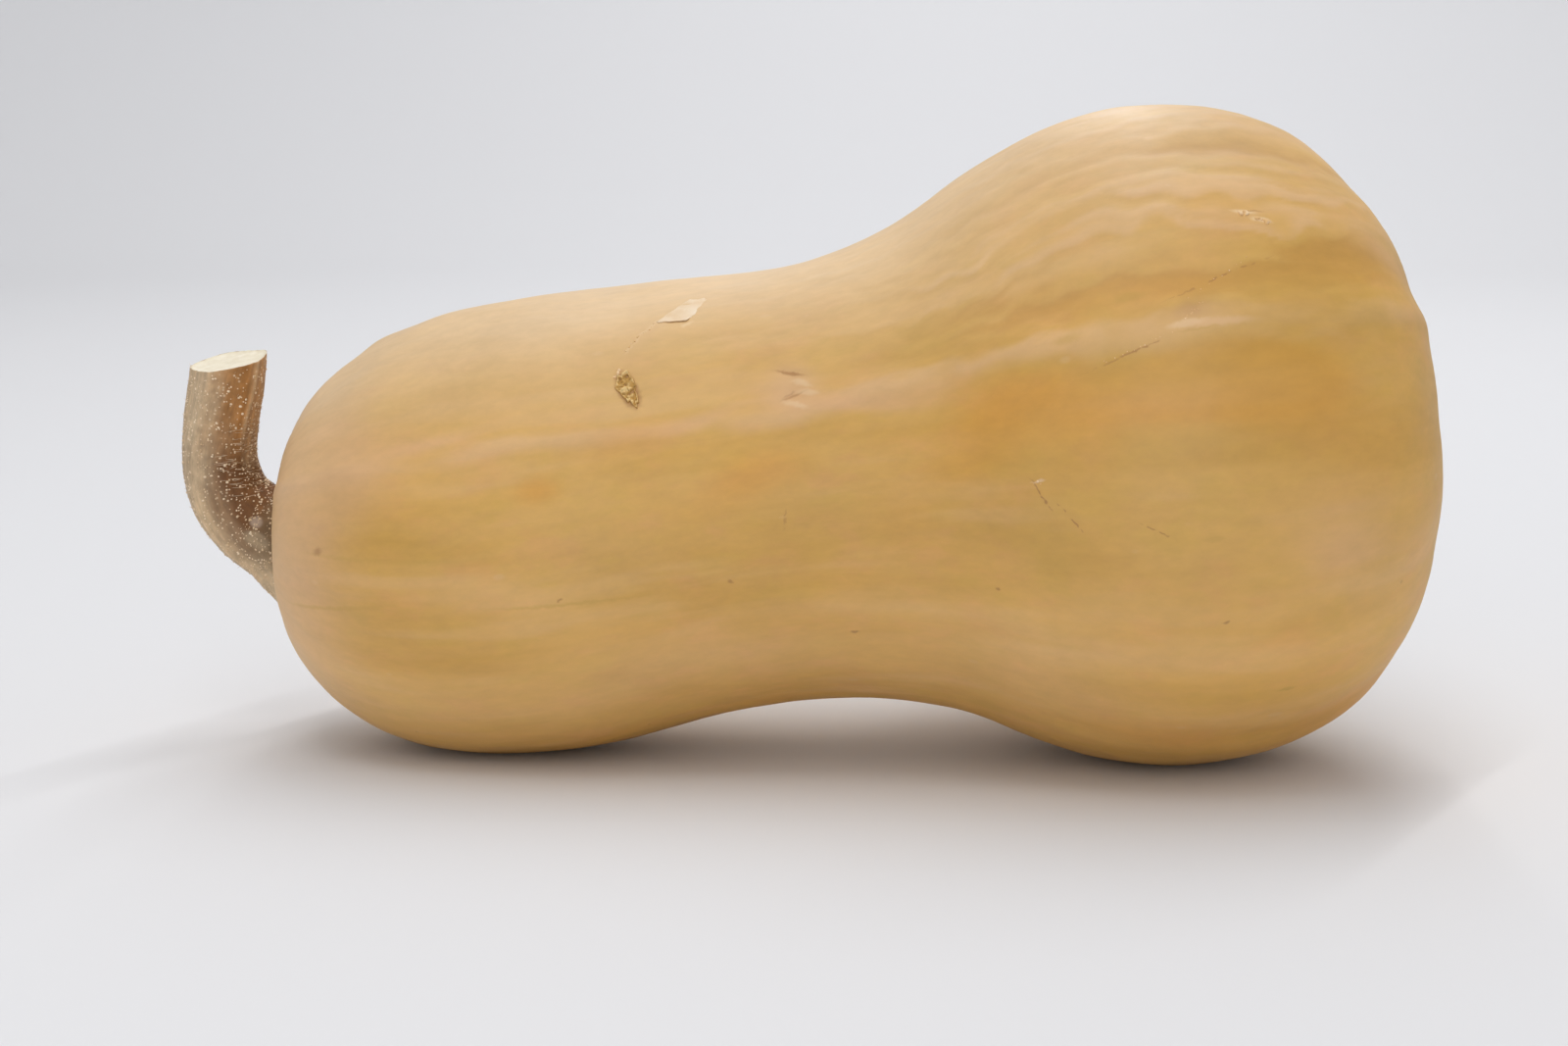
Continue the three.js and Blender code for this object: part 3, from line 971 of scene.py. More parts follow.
# %% The rind's sheen and grain
dull = tree.math("ADD", tree.swing(clouds, 0.46, 0.56, 0.2), tree.math("MULTIPLY", scratched, 0.15))
grain = tree.math("MULTIPLY", tree.noise(flow, 160, 2, 0.5), 1.4)
grain = tree.math("ADD", tree.math("MULTIPLY", fine, 0.5), grain)
grain = tree.math("SUBTRACT", grain, freckles)
finish(tree, shader, colour, dull, grain, strength=0.55, depth_mm=0.10)
shader.inputs["IOR"].default_value = 1.65
print("rind:", len(rind.node_tree.nodes), "nodes")

# %% [markdown]
# ## The stalk
#
# The stalk is a stub of dried vine: five ridges twist along it, it bends up from the hollow of the
# neck, spreads at its foot and ends in a pale slanting cut. It is a ridged section carried along a
# bent line, as the packed model has it, with a sharper ridge and fine grooves.

# %% The stalk's section and line
STEM_LINE = [
    (9.3, 9.4, 31.4), (3.9, 9, 36.2), (-1.7, 8, 41.2), (-7.8, 7.6, 44.9), (-12.1, 7.4, 49.7),
    (-14.2, 7.2, 57), (-13.7, 7, 65.5), (-12.1, 7, 74.9), (-10.6, 7, 88.3),
]
FOOT_RADIUS = 10.8
SHAFT_RADIUS = 7.7
STEM_FLOW_RADIUS = 8 * MM
RIDGE_ANGLE = 14.0
RIDGE_HEIGHT = 0.070  # share of the radius
RIDGE_SHARPNESS = 1.7
RIDGE_MEAN = 0.42
TWIST = 55.0

stem_line, stem_along = smooth_curve(STEM_LINE, 1001)
stem_heading = unit(np.gradient(stem_line, stem_along, axis=0))
STEM_LENGTH = stem_along[-1]


def ridge_phase(share, angle):
    """Degrees from the nearest ridge's own zero: five ridges, which twist along the stalk."""
    return angle - RIDGE_ANGLE + TWIST * (share - 0.9)


def stem_flow_at(share, angle):
    """Flow space of the stalk's bark, which follows the twist of the ridges."""
    return flow_space(share * STEM_LENGTH, ridge_phase(share, angle), STEM_FLOW_RADIUS)


def stem_point(share, angle, lift=0.0):
    """Point of the stalk: line + reach x (cos of the angle to the front + sin towards -X).

    Reach is a radius that shrinks from foot to shaft, times five rounded ridges and fine grooves.
    """
    share, angle = np.broadcast_arrays(np.asarray(share, float), np.asarray(angle, float))
    centre = follow(share * STEM_LENGTH, stem_along, stem_line)
    heading = unit(follow(share * STEM_LENGTH, stem_along, stem_heading))
    front = unit(np.array([0.0, -1.0, 0.0]) + heading[..., 1:2] * heading)
    across = np.cross(front, heading)
    radius = FOOT_RADIUS + (SHAFT_RADIUS - FOOT_RADIUS) * smoothstep(0, 0.6, share)
    phase = np.radians(ridge_phase(share, angle))
    ridge = 0.5 + 0.5 * np.cos(5 * phase)
    grooves = 0.008 * np.cos(15 * phase + 1.0) + 0.006 * np.cos(29 * phase)
    profile = RIDGE_HEIGHT * (ridge**RIDGE_SHARPNESS - RIDGE_MEAN) + grooves
    lumps = layers_of(stem_flow_at(share, angle), (0.12, 16, 7, 41), (0.05, 5, 2.2, 42))
    reach = (radius * (1 + profile) + lumps) * MM + lift
    turn = np.radians(angle)[..., None]
    return centre + reach[..., None] * (np.cos(turn) * front + np.sin(turn) * across) + HOME


print("stalk's line:", round(STEM_LENGTH / MM, 1), "mm")

# %% [markdown]
# The cut is a plane. For each column of the grid, the side is followed until it meets that plane, and
# the rows are spread evenly up to there. The cut face then runs inwards from the rim in rings.

# %% Build the stalk
STEM_ROWS = 150
STEM_COLUMNS = 150
FACE_RINGS = np.array([0.985, 0.955, 0.90, 0.82, 0.72, 0.61, 0.50, 0.39, 0.28, 0.17, 0.08])
CUT_MIDDLE = np.array([-11.5, 7, 78.9]) * MM
CUT_NORMAL = unit(np.array([-math.tan(math.radians(8)), -math.tan(math.radians(9)), 1.0]))

stem_angle = np.linspace(0, 360, STEM_COLUMNS, endpoint=False)
fine_share = np.linspace(0.5, 1.0, 400)
side_points = stem_point(*np.meshgrid(fine_share, stem_angle, indexing="ij"))
above = (side_points - CUT_MIDDLE - HOME) @ CUT_NORMAL
above_rim = np.argmax(above > 0, axis=0)
column_index = np.arange(STEM_COLUMNS)
low, high = above[above_rim - 1, column_index], above[above_rim, column_index]
cut_share = fine_share[above_rim - 1] + (fine_share[1] - fine_share[0]) * (-low / (high - low))

rise = np.linspace(0, 1, STEM_ROWS)[:, None]
stem_share = rise * cut_share
side = stem_point(stem_share, stem_angle)
rim = side[-1]
face_middle = rim.mean(0)
inwards = FACE_RINGS[:, None, None]
dish = 0.35 * smoothstep(1.0, 0.85, FACE_RINGS) + 0.25 * smoothstep(0.45, 0.1, FACE_RINGS)
lowered = (dish[:, None] + 0.10 * soft_waves(rim * inwards, 2.2, 2.2, seed=43)) * MM
face = face_middle + inwards * (rim - face_middle) - lowered[..., None] * CUT_NORMAL
stem_shaft = closed_grid(
    "stem_shaft",
    "stem",
    np.concatenate([side, face]),
    stem_line[0] + HOME,
    face_middle - 0.6 * MM * CUT_NORMAL,
    round_value=np.radians(np.append(stem_angle, 360)),
    along_value=np.concatenate([rise[:, 0], 1 + 0.1 * (1 - FACE_RINGS), [0, 1.1]]) * STEM_LENGTH,
)
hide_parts("stem")
print("stalk:", triangles(stem_shaft), "triangles")

# %% [markdown]
# One side of the stalk is pale grey, partly weathered and partly painted light on the side towards the
# light, while the other is still brown, and its ridges are rubbed pale. These tones go round it and
# along it, so they are values at its vertices too.

# %% Tones on the stalk
bark_share = np.concatenate([stem_share, np.broadcast_to(cut_share, face.shape[:2])])
bark_angle = np.broadcast_to(stem_angle, bark_share.shape)
phase = ridge_phase(bark_share, bark_angle)
to_front = turned(bark_angle, 0)

# Grey, partly weathering and partly painted light on the lit side, comes in over the front and goes
# again at the back. Its edge is uneven, and leans at the bend.
bend = smoothstep(0.66, 0.30, bark_share)
uneven = to_front + 9 * soft_waves(stem_flow_at(bark_share, bark_angle), 14, 5, seed=44)
to_back = np.where(to_front < -90, to_front + 360, to_front)
grey = smoothstep(-42 + 34 * bend, 40 + 8 * bend, uneven) * smoothstep(200, 130, to_back)
furrow = 0.5 - 0.5 * np.cos(5 * np.radians(phase))

# Pale lines follow one ridge on the shaft, another at the foot, the edge towards the fruit, and the bend.
near_fruit = smoothstep(-150, -110, to_front)
pale = bell(turned(phase, -77), 3.2) * smoothstep(0.58, 0.70, bark_share)
pale = pale + 0.8 * bell(turned(phase, 0), 4.0) * hump(bark_share, 0.12, 0.24, 0.42, 0.52)
pale = pale + 0.42 * smoothstep(-40, -58, to_front) * near_fruit * smoothstep(0.47, 0.56, bark_share)
pale = pale + 0.7 * grey * bell(bark_share - 0.41, 0.08)

# Painted shade: the bark is darkened where the stalk meets the fruit.
nook = smoothstep(34, -4, to_front) * near_fruit * hump(bark_share, 0.16, 0.20, 0.26, 0.34)

OVAL_RADIUS = 9  # mm, about the stalk's radius where the ovals are


def stem_oval(at_share, at_angle, half_length, half_width):
    """1 inside an oval on the stalk, 0 outside. The half sizes are in mm."""
    along_mm = (bark_share - at_share) * STEM_LENGTH / MM
    around_mm = np.radians(turned(bark_angle, at_angle)) * OVAL_RADIUS
    return smoothstep(1.3, 0.75, np.hypot(along_mm / half_length, around_mm / half_width))


on_side, on_face = np.ones(side.shape[:2]), np.ones(face.shape[:2])
for name, values, first, last in (
    ("weathered", grey * (1 - 0.5 * furrow * smoothstep(55, 100, np.abs(to_front))), 0, 0),
    ("ridge", np.minimum(pale, 1), 0, 0),
    ("nook", nook, 0, 0),
    ("patch", stem_oval(0.275, 4, 2.6, 1.7), 0, 0),
    ("scuff", stem_oval(0.305, -17, 1.5, 1.1), 0, 0),
    ("height", bark_share, 0, 1),
    ("cut", np.concatenate([0 * on_side, on_face]), 0, 1),
    ("inward", np.concatenate([on_side, on_face * FACE_RINGS[:, None]]), 1, 0),
):
    write_values(stem_shaft, name, with_poles(values, first, last))
flow = stem_flow_at(bark_share, bark_angle).reshape(-1, 3)
write_values(stem_shaft, "flow", np.vstack([flow, [[0, 0, 0], [STEM_LENGTH, 0, 0]]]))
print("tones on", len(flow) + 2, "vertices")

# %% [markdown]
# The bark is brown, redder towards the cut and darker at the bend, with the tones above laid over it
# one by one. Its fibres are a noise stretched fourteen times along the stalk. The cut shows pale pith.

# %% The stalk's bark and cut
bark, tree, shader = new_material("stalk", stem_shaft)
flow = tree.attribute("flow", "Vector")
place = tree.place()
height = tree.attribute("height")
fibres = tree.noise(tree.stretch(flow, 0.07), 1500, 3, 0.6)
blotches = tree.noise(tree.stretch(flow, 0.5), 260, 3, 0.55)
mottled = tree.noise(tree.stretch(flow, 0.7), 620, 3, 0.6)
half = tree.ramp(blotches, 0.35, 0.65)
rust = tree.math("MULTIPLY", tree.ramp(height, 0.48, 0.76), tree.ramp(blotches, 0.3, 0.6, 0.7, 1.0))
bend = tree.math("MULTIPLY", tree.ramp(height, 0.22, 0.36), tree.ramp(height, 0.66, 0.50))
grey = tree.math("MULTIPLY", tree.attribute("weathered"), tree.ramp(blotches, 0.25, 0.6, 0.8, 1.0))
olive = tree.mix(half, (0.22, 0.165, 0.085, 1), (0.37, 0.28, 0.155, 1))

colour = tree.mix(half, (0.19, 0.086, 0.030, 1), (0.28, 0.138, 0.054, 1))
for where, strength, paint in (
    (rust, 0.85, (0.42, 0.190, 0.052, 1)),
    (bend, 0.70, (0.145, 0.060, 0.022, 1)),
    (tree.ramp(height, 0.32, 0.16), 0.90, olive),
    (tree.ramp(height, 0.19, 0.10), 0.85, (0.60, 0.47, 0.30, 1)),
    # pale grey: weathering, and painted light on the lit side
    (grey, 0.92, (0.62, 0.47, 0.30, 1)),
    (tree.attribute("ridge"), 0.75, (0.76, 0.55, 0.33, 1)),
    # painted shade where the stalk meets the fruit
    (tree.attribute("nook"), 0.70, (0.15, 0.095, 0.05, 1)),
    (tree.attribute("patch"), 0.85, (0.39, 0.29, 0.18, 1)),
    (tree.attribute("scuff"), 0.70, (0.50, 0.38, 0.29, 1)),
):
    colour = tree.tint(colour, where, strength, paint)
shade = tree.math("MULTIPLY", tree.swing(fibres, 0.86, 1.13), tree.swing(mottled, 0.80, 1.14, 0.18))
colour = tree.shaded(colour, shade)
specks = tree.group(fleck_group, Place=place, Scale=1000.0, Size=0.26, Share=0.35)
colour = tree.tint(colour, specks, 0.55, (0.78, 0.62, 0.43, 1))

pith = tree.group(mottle_group, Place=place, Scale=500.0, Low=0.3, High=0.7)
flesh = tree.mix(pith, (0.76, 0.68, 0.52, 1), (0.84, 0.77, 0.63, 1))
flesh = tree.tint(flesh, tree.ramp(tree.attribute("inward"), 0.88, 0.97), 0.4, (0.72, 0.62, 0.42, 1))
colour = tree.mix(tree.ramp(tree.attribute("cut"), 0.4, 0.6), colour, flesh)
relief = tree.math("ADD", fibres, tree.math("MULTIPLY", blotches, 0.8))
finish(tree, shader, colour, tree.swing(blotches, 0.62, 0.80, 0.2), relief, strength=0.55, depth_mm=0.15)
shader.inputs["Specular IOR Level"].default_value = 0.25
print("stalk material:", len(bark.node_tree.nodes), "nodes")

# %% [markdown]
# ### Warts and bristles
# A squash stalk is covered with small pale warts, the feet of dried bristles. Hair particles would not
# survive the export, so both are meshes: one low dome is copied hundreds of times with numpy, and each
# bristle is a thin four-sided tube laid along the bark.

# %% Warts
WART_COUNT = 2400
FOOT_WARTS = 900
WART_MM = 0.125
WART_HEIGHT = 0.8  # share of its size
LOWEST_WART = 0.14  # shares of the stalk's length
RIM_GAP = 0.012
FOOT_BAND = (0.12, 0.34)
FOOT_WART_SIZE = 0.62  # share of the others' size
DOME_SIDES = 8
DOME_RINGS = [(1.0, -0.35), (0.86, 0.35), (0.45, 0.8)]  # radius and height, for a dome one unit wide
DOME_TOP = 0.95
stem_draw = np.random.default_rng(51)


def stem_surface(share, angle, lift):
    """Point above the bark, with the directions out of it, along it and round it."""
    along = unit(stem_point(share + 0.004, angle) - stem_point(share - 0.004, angle))
    around = unit(stem_point(share, angle + 1.0) - stem_point(share, angle - 1.0))
    return stem_point(share, angle, lift), unit(np.cross(along, around)), along, around


def dome():
    """A low round dome, its foot just below 0: its points and faces, with a fan at each end."""
    turn = np.arange(DOME_SIDES) * 2 * np.pi / DOME_SIDES
    points = [np.column_stack([r * np.cos(turn), r * np.sin(turn), 0 * turn + z]) for r, z in DOME_RINGS]
    points = np.vstack([*points, [0, 0, DOME_TOP], [0, 0, DOME_RINGS[0][1]]])
    faces = []
    top, crown, foot = 2 * DOME_SIDES, 3 * DOME_SIDES, 3 * DOME_SIDES + 1
    for here in range(DOME_SIDES):
        after = (here + 1) % DOME_SIDES
        for ring in (0, DOME_SIDES):
            faces.append((ring + here, ring + after, ring + DOME_SIDES + after, ring + DOME_SIDES + here))
        faces.append((top + here, top + after, crown))
        faces.append((after, here, foot))
    return points, faces


def copies(name, slot, points, faces, centres, frames):
    """One piece of many copies: each copy is centre + points x frame, worked out all at once."""
    placed = centres[:, None] + np.einsum("pk,nkj->npj", points, frames)
    first = np.arange(len(centres))[:, None] * len(points)
    listed = [row for face in faces for row in (first + np.array(face)).tolist()]
    return new_piece(name, placed.reshape(-1, 3), listed, slot)


wart_angle = stem_draw.uniform(0, 360, WART_COUNT)
below_cut = np.interp(wart_angle, stem_angle, cut_share, period=360) - RIM_GAP
wart_share = LOWEST_WART + stem_draw.uniform(0, 1, WART_COUNT) * (below_cut - LOWEST_WART)
wart_share[-FOOT_WARTS:] = stem_draw.uniform(*FOOT_BAND, FOOT_WARTS)
wart_size = WART_MM * MM * (1 + stem_draw.exponential(0.45, WART_COUNT)).clip(0.8, 2.4)
wart_size[-FOOT_WARTS:] *= FOOT_WART_SIZE
wart_wide = wart_size * stem_draw.uniform(0.8, 1.5, WART_COUNT)
centres, out, along, around = stem_surface(wart_share, wart_angle, 0.0)
frames = [around * wart_wide[:, None], -along * wart_size[:, None], out * WART_HEIGHT * wart_size[:, None]]
dome_points, dome_faces = dome()
stem_warts = copies("stem_warts", "stem", dome_points, dome_faces, centres, np.stack(frames, axis=1))
print("warts:", WART_COUNT, "with", len(dome_faces), "faces each")

# %% [markdown]
# Long bristles lie level round the side that looks towards the fruit. Short ones stand along the whole
# stalk. Both follow the bark, because their path is given by share and angle.

# %% Bristles
LONG_BRISTLES = 170
SHORT_BRISTLES = 260
BRISTLE_STEPS = 7
BRISTLE_SIDES = 4
ROOT_DEPTH = 0.08 * MM
SHAFT_REACH = 9 * MM  # about the shaft's radius at a bristle


def bristle_tubes(share, angle, span, slope, stand, thickness):
    """Tubes along the bark: the path turns by span degrees and climbs by slope, while its height above
    the bark goes from inside it to stand. Each tube thins to a point at its tip."""
    t = np.linspace(0, 1, BRISTLE_STEPS)[None, :]
    path_share = share[:, None] + slope[:, None] * t
    path_angle = angle[:, None] + span[:, None] * t
    lift = -ROOT_DEPTH + (stand[:, None] + ROOT_DEPTH) * t**0.8
    point, out, along, around = stem_surface(path_share, path_angle, lift)
    heading = unit(np.gradient(point, axis=1))
    across = unit(np.cross(heading, out))
    out = np.cross(across, heading)
    turn = np.arange(BRISTLE_SIDES)[:, None] * 2 * np.pi / BRISTLE_SIDES
    reach = thickness[:, None] * (1 - 0.8 * t**2)
    ring = np.cos(turn) * out[:, :, None] + np.sin(turn) * across[:, :, None]
    return point[:, :, None] + reach[..., None, None] * ring


low_half = stem_draw.uniform(0.36, 0.70, LONG_BRISTLES)
facing = stem_draw.uniform(-130, -22, LONG_BRISTLES)
span = stem_draw.choice([-1, 1], LONG_BRISTLES) * stem_draw.uniform(8, 22, LONG_BRISTLES)
heading = follow(low_half * STEM_LENGTH, stem_along, stem_heading)
leaning = np.clip(-heading[:, 0] / heading[:, 2], -0.3, 1.1)
level = np.radians(span) * SHAFT_REACH / STEM_LENGTH * leaning
long_tubes = bristle_tubes(
    low_half,
    facing,
    span,
    level + stem_draw.normal(0, 0.004, LONG_BRISTLES),
    stem_draw.uniform(0.05, 0.35, LONG_BRISTLES) * MM,
    stem_draw.uniform(0.045, 0.075, LONG_BRISTLES) * MM,
)
short_tubes = bristle_tubes(
    stem_draw.uniform(0.14, 0.84, SHORT_BRISTLES),
    stem_draw.uniform(0, 360, SHORT_BRISTLES),
    stem_draw.normal(0, 3, SHORT_BRISTLES),
    stem_draw.normal(0.004, 0.003, SHORT_BRISTLES),
    stem_draw.uniform(0.2, 0.7, SHORT_BRISTLES) * MM,
    stem_draw.uniform(0.03, 0.05, SHORT_BRISTLES) * MM,
)
tubes = np.concatenate([long_tubes, short_tubes])
first_cap = np.arange(BRISTLE_SIDES)
last_cap = (BRISTLE_STEPS - 1) * BRISTLE_SIDES + first_cap[::-1]
one_tube = np.vstack([grid_faces(BRISTLE_STEPS, BRISTLE_SIDES), first_cap, last_cap])
first_points = np.arange(len(tubes))[:, None, None] * BRISTLE_STEPS * BRISTLE_SIDES
tube_faces = (first_points + one_tube).reshape(-1, 4).tolist()
stem_bristles = new_piece("stem_bristles", tubes.reshape(-1, 3), tube_faces, "stem")
print("bristles:", len(tubes))

# %% [markdown]
# Warts and bristles are dry pale horn, the bristles a little darker. One function makes such a finish,
# because the crumbs of cork further on have the same build with other colours.

# %% Plain dry finishes
def clouded_material(name, piece, scale, low_paint, high_paint, low_rough, high_rough):
    """A dry horny or corky finish: one cloudy pattern changes its colour and its roughness."""
    tree, shader = new_material(name, piece)[1:]
    cloud = tree.group(mottle_group, Place=tree.place(), Scale=scale, Detail=2.0)
    colour = tree.mix(cloud, low_paint, high_paint)
    finish(tree, shader, colour, tree.ramp(cloud, 0, 1, low_rough, high_rough, "LINEAR"))


clouded_material("pale_horn", stem_warts, 350.0, (0.66, 0.48, 0.29, 1), (0.88, 0.72, 0.52, 1), 0.5, 0.7)
clouded_material("bristle_horn", stem_bristles, 350.0, (0.48, 0.34, 0.20, 1), (0.78, 0.61, 0.43, 1), 0.5, 0.7)
print("horn on", stem_warts.name, "and", stem_bristles.name)

# %% [markdown]
# ## Scars
#
# Where the rind was hurt while it grew, it has healed with cork: a rough golden crust with raised
# cream edges. Beside it a flake of dry skin has lifted. At the far end a round corky scar shows where
# the flower sat. Paint alone would leave them flat, so each is its own thin solid, set on the skin by
# its share and angle.

# %% A thin solid that lies on the skin
def skin_patch(name, at_share, at_angle, along, around, top, bottom):
    """Closed plate on the skin: rings of (along, around) in mm from a spot, and their heights in mm.

    along, around and top are rings x columns, from the middle out. The underside uses the same rings
    on the way back, at the height bottom.
    """
    every_along = np.concatenate([along, along[::-1]])
    every_around = np.concatenate([around, around[::-1]])
    height = np.concatenate([top, np.broadcast_to(bottom, along.shape)[::-1]])
    share = at_share + every_along * MM / SKIN_LENGTH
    angle = at_angle + np.degrees(every_around * MM / radius_at(at_share))
    points = skin_lifted(share, angle, height * MM)
    return closed_grid(name, "skin", points, points[0].mean(0), points[-1].mean(0))


def rings_of(outline_mm, rings, columns, crowd):
    """Rings that shrink a closed outline (a function of the turn) to its middle, closer at the rim."""
    share = np.linspace(0, 1, rings + 1)[1:, None] ** crowd
    turn = np.linspace(0, 2 * np.pi, columns, endpoint=False)
    x, y = outline_mm(turn)
    return share * x, share * y, share, turn


def flat_flow(along_mm, around_mm):
    """Flow space of a small flat patch: the two distances, and no third."""
    return np.stack([along_mm, around_mm, 0 * along_mm], axis=-1) * MM


print("1 mm along the skin is a share of", round(MM / SKIN_LENGTH, 5))

# %% The corky scar
SCAR_SHARE, SCAR_ANGLE = 0.3606, 37.4
SCAR_TURN = math.radians(-74)
SCAR_HALF_LENGTH, SCAR_HALF_WIDTH = 4.3, 1.65
SCAR_DEPTH = -0.6
UNDERSIDE = -0.3  # the height that the material reads on an underside


def scar_outline(turn):
    """A ragged long oval, slanting down to its narrower end."""
    ragged = 1 + 0.10 * np.sin(3 * turn + 0.6) + 0.08 * np.sin(7 * turn + 2) + 0.05 * np.sin(13 * turn)
    x = SCAR_HALF_LENGTH * ragged * np.cos(turn)
    y = SCAR_HALF_WIDTH * ragged * np.sin(turn) * (1 - 0.30 * np.cos(turn))
    cos, sin = math.cos(SCAR_TURN), math.sin(SCAR_TURN)
    return x * cos - y * sin, x * sin + y * cos


along, around, reach, turn = rings_of(scar_outline, 26, 120, 0.6)
crust = layers_of(flat_flow(along, around), (0.24, 2.4, 2.0, 61), (0.10, 0.9, 0.8, 62))
raised_edge = bell(reach - 0.86, 0.09) * (0.7 + 0.3 * np.sin(2 * turn + 1))
top = 0.22 + 0.42 * raised_edge + 1.3 * crust * smoothstep(1.0, 0.8, reach)
top = top * smoothstep(1.0, 0.93, reach) - 0.25 * smoothstep(0.93, 1.0, reach)
corky_scar = skin_patch("corky_scar", SCAR_SHARE, SCAR_ANGLE, along, around, top, SCAR_DEPTH)
heights = np.concatenate([top, np.full(top.shape, UNDERSIDE)])
write_values(corky_scar, "height", with_poles(heights, 0.2, UNDERSIDE))
print("corky scar:", triangles(corky_scar), "triangles")

# %% [markdown]
# Cork is dark where it is deep and cream where it stands up, so its colour follows its own height. The
# dark of the pits is partly painted shade, and the cream of the tops partly painted highlight.

# %% The cork
cork, tree, shader = new_material("cork", corky_scar)
height = tree.attribute("height")
crumb = tree.noise(tree.place(), 1600, 3, 0.6)
# Dark low down and cream up high: partly the cork's own colour, partly painted shade and painted highlight.
colour = tree.mix(tree.ramp(height, -0.10, 0.16), (0.13, 0.055, 0.014, 1), (0.50, 0.28, 0.070, 1))
colour = tree.mix(tree.ramp(height, 0.20, 0.60), colour, (0.80, 0.56, 0.24, 1))
colour = tree.shaded(colour, tree.swing(crumb, 0.65, 1.25))
finish(tree, shader, colour, tree.swing(crumb, 0.6, 0.85, 0.2), crumb, strength=0.8, depth_mm=0.15)
print("cork:", len(cork.node_tree.nodes), "nodes")

# %% [markdown]
# The flake is a torn strip of the rind's own skin, a tenth of a millimetre thick. Most of it still
# lies down, and its lower edge has dried pale and curled up.

# %% The lifted flake
FLAKE_SHARE, FLAKE_ANGLE = 0.3936, 63.0
FLAKE_THICKNESS = 0.10
# Edge of the flake in mm from its middle, along and round the fruit: lower corners, then upper ones.
FLAKE_EDGE = [
    (3.9, 3.1), (3.3, 4.0), (0.7, 4.5), (-1.6, 1.4), (-4.9, -3.4), (-3.6, -3.7), (0.2, -4.5), (1.6, -2.4),
]


def flake_outline(turn):
    """The edge list, closed and followed evenly, with a fine raggedness."""
    edge = np.array(FLAKE_EDGE + FLAKE_EDGE[:1])
    place = np.linspace(0, 1, len(edge)) * 2 * np.pi
    ragged = 1 + 0.03 * np.sin(9 * turn + 1) + 0.02 * np.sin(17 * turn)
    return np.interp(turn, place, edge[:, 0]) * ragged, np.interp(turn, place, edge[:, 1]) * ragged


along, around, reach, turn = rings_of(flake_outline, 14, 96, 0.8)
curl = smoothstep(-2.4, -4.2, around) * smoothstep(0.5, 1.0, reach)
crumple = 0.04 * soft_waves(flat_flow(along, around), 4, 2, seed=63)
top = 0.05 + 0.20 * curl + crumple - 0.09 * smoothstep(0.85, 1.0, reach) * (1 - curl)
bottom = top - FLAKE_THICKNESS
skin_flake = skin_patch("skin_flake", FLAKE_SHARE, FLAKE_ANGLE, along, around, top, bottom)
free_part = smoothstep(3.0, -4.0, around) * smoothstep(-3.0, 2.0, along + around)
write_values(skin_flake, "free", with_poles(np.concatenate([free_part, free_part[::-1]]), 0.5, 0.5))

tree, shader = new_material("dry_skin", skin_flake)[1:]
cloud = tree.group(mottle_group, Place=tree.place(), Scale=300.0, Low=0.3, High=0.7)
free = tree.ramp(tree.attribute("free"), 0.0, 1.0)
colour = tree.mix(free, (0.74, 0.53, 0.31, 1), (0.84, 0.72, 0.56, 1))
colour = tree.tint(colour, cloud, 0.35, (0.88, 0.78, 0.64, 1))
finish(tree, shader, colour, tree.ramp(cloud, 0, 1, 0.4, 0.55, "LINEAR"))
print("flake:", triangles(skin_flake), "triangles")

# %% [markdown]
# Crumbs of cork stand along the scratches, where the rind has healed in single grains. They are the
# warts' dome again, scattered along short lines and turned at random.

# %% Crumbs of cork along the scratches
# Start share and angle, end share and angle, how many, size (mm).
CRUMB_LINES = [
    (0.3785, 58.6, 0.3590, 48.5, 14, 0.15), (0.7129, 36.5, 0.6770, 30.0, 10, 0.08),
    (0.6850, 29.5, 0.6740, 26.6, 14, 0.08), (0.6680, 24.6, 0.6290, 21.0, 12, 0.08),
    (0.7125, 44.8, 0.7165, 44.0, 6, 0.30), (0.7195, 43.2, 0.7245, 42.2, 7, 0.30),
    (0.3520, 41.0, 0.3565, 44.0, 4, 0.20), (0.5870, 2.4, 0.5895, 1.2, 4, 0.12),
]
CRUMB_HEIGHT = 0.7  # share of its size
crumb_draw = np.random.default_rng(64)
crumb_rows = []
for share0, angle0, share1, angle1, count, size in CRUMB_LINES:
    t = (np.arange(count) + crumb_draw.uniform(0.1, 0.9, count)) / count
    crumb_rows.append(np.column_stack([
        share0 + (share1 - share0) * t + crumb_draw.normal(0, 0.0006, count),
        angle0 + (angle1 - angle0) * t + crumb_draw.normal(0, 0.25, count),
        size * MM * (1 + crumb_draw.exponential(0.4, count)).clip(0.7, 2.0),
    ]))
crumb_share, crumb_angle, crumb_size = np.concatenate(crumb_rows).T
centres = skin_point(crumb_share, crumb_angle)
out = unit(skin_lifted(crumb_share, crumb_angle, np.full(crumb_share.shape, MM)) - centres)
sideways = unit(np.cross(out, crumb_draw.normal(size=out.shape)))
lengthwise = np.cross(out, sideways)
crumb_wide = crumb_size * crumb_draw.uniform(0.6, 1.6, len(crumb_size))
crumb_high = out * CRUMB_HEIGHT * crumb_size[:, None]
frames = [lengthwise * crumb_wide[:, None], sideways * crumb_size[:, None], crumb_high]
skin_crumbs = copies("skin_crumbs", "skin", dome_points, dome_faces, centres, np.stack(frames, axis=1))
clouded_material("cork_crumbs", skin_crumbs, 900.0, (0.70, 0.43, 0.18, 1), (0.82, 0.60, 0.36, 1), 0.6, 0.8)
print("crumbs:", len(crumb_size))

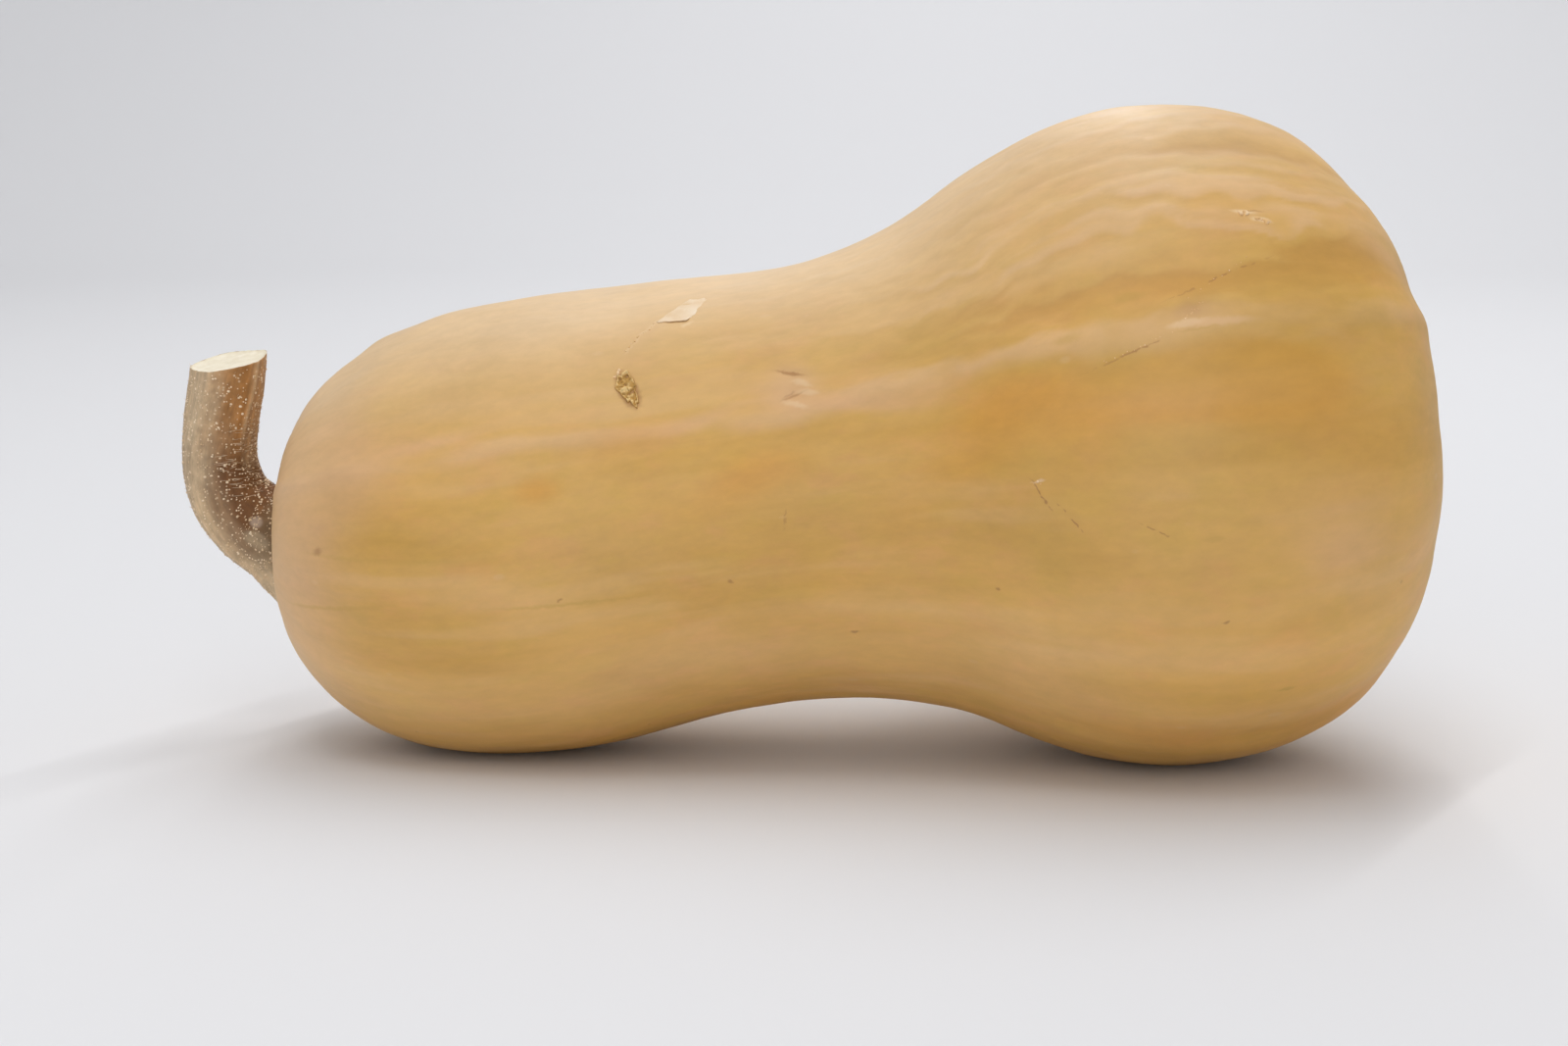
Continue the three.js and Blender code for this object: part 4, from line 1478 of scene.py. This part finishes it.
# %% [markdown]
# The blossom scar is a corky disc with a knob in its middle, a low wall round it and fine cracks. It is
# laid round the skin's own pole, where share and angle run out, so it is placed by its distance from
# the pole and lifted along the spine.

# %% The blossom scar
BLOSSOM_RADIUS = 5.2
BLOSSOM_RINGS = 30
BLOSSOM_COLUMNS = 120
BLOSSOM_DEPTH = -0.6
BLOSSOM_KNOB = 0.85


def blossom_point(reach_mm, turn, lift_mm):
    """The skin near the pole, found by its distance from the pole, lifted along the spine."""
    angle = np.degrees(np.broadcast_to(turn, reach_mm.shape))
    return skin_point(1 - reach_mm * MM / SKIN_LENGTH, angle) + (lift_mm * MM)[..., None] * pole_heading


pole_heading = unit(spine_heading[-1])
share = np.linspace(0, 1, BLOSSOM_RINGS + 1)[1:, None]
turn = np.linspace(0, 2 * np.pi, BLOSSOM_COLUMNS, endpoint=False)
waver = 1 + 0.06 * np.sin(5 * turn + 1) + 0.04 * np.sin(9 * turn)
reach = share * BLOSSOM_RADIUS * waver
cracks = np.cos(11 * turn + 0.7 * np.sin(3 * turn)) * share * (1 - share)
top = 0.15 + 0.7 * bell(share, 0.22) + 0.35 * bell(share - 0.82, 0.1) + 0.12 * cracks
top = top + 0.12 * soft_waves(flat_flow(reach * np.cos(turn), reach * np.sin(turn)), 1.6, 1.6, seed=71)
top = top * smoothstep(1.0, 0.9, share) - 0.3 * (share > 0.99)
upper = blossom_point(reach, turn, top)
lower = blossom_point(reach, turn, np.full(reach.shape, BLOSSOM_DEPTH))
blossom_scar = closed_grid(
    "blossom_scar",
    "skin",
    np.concatenate([upper, lower[::-1]])[:, ::-1],
    blossom_pole + BLOSSOM_KNOB * MM * pole_heading,
    blossom_pole + BLOSSOM_DEPTH * MM * pole_heading,
)
heights = np.concatenate([top, np.full(top.shape, UNDERSIDE)])[:, ::-1]
write_values(blossom_scar, "height", with_poles(heights, 0.4, UNDERSIDE))
blossom_scar.data.materials.append(cork)
print("blossom scar:", triangles(blossom_scar), "triangles")

# %% [markdown]
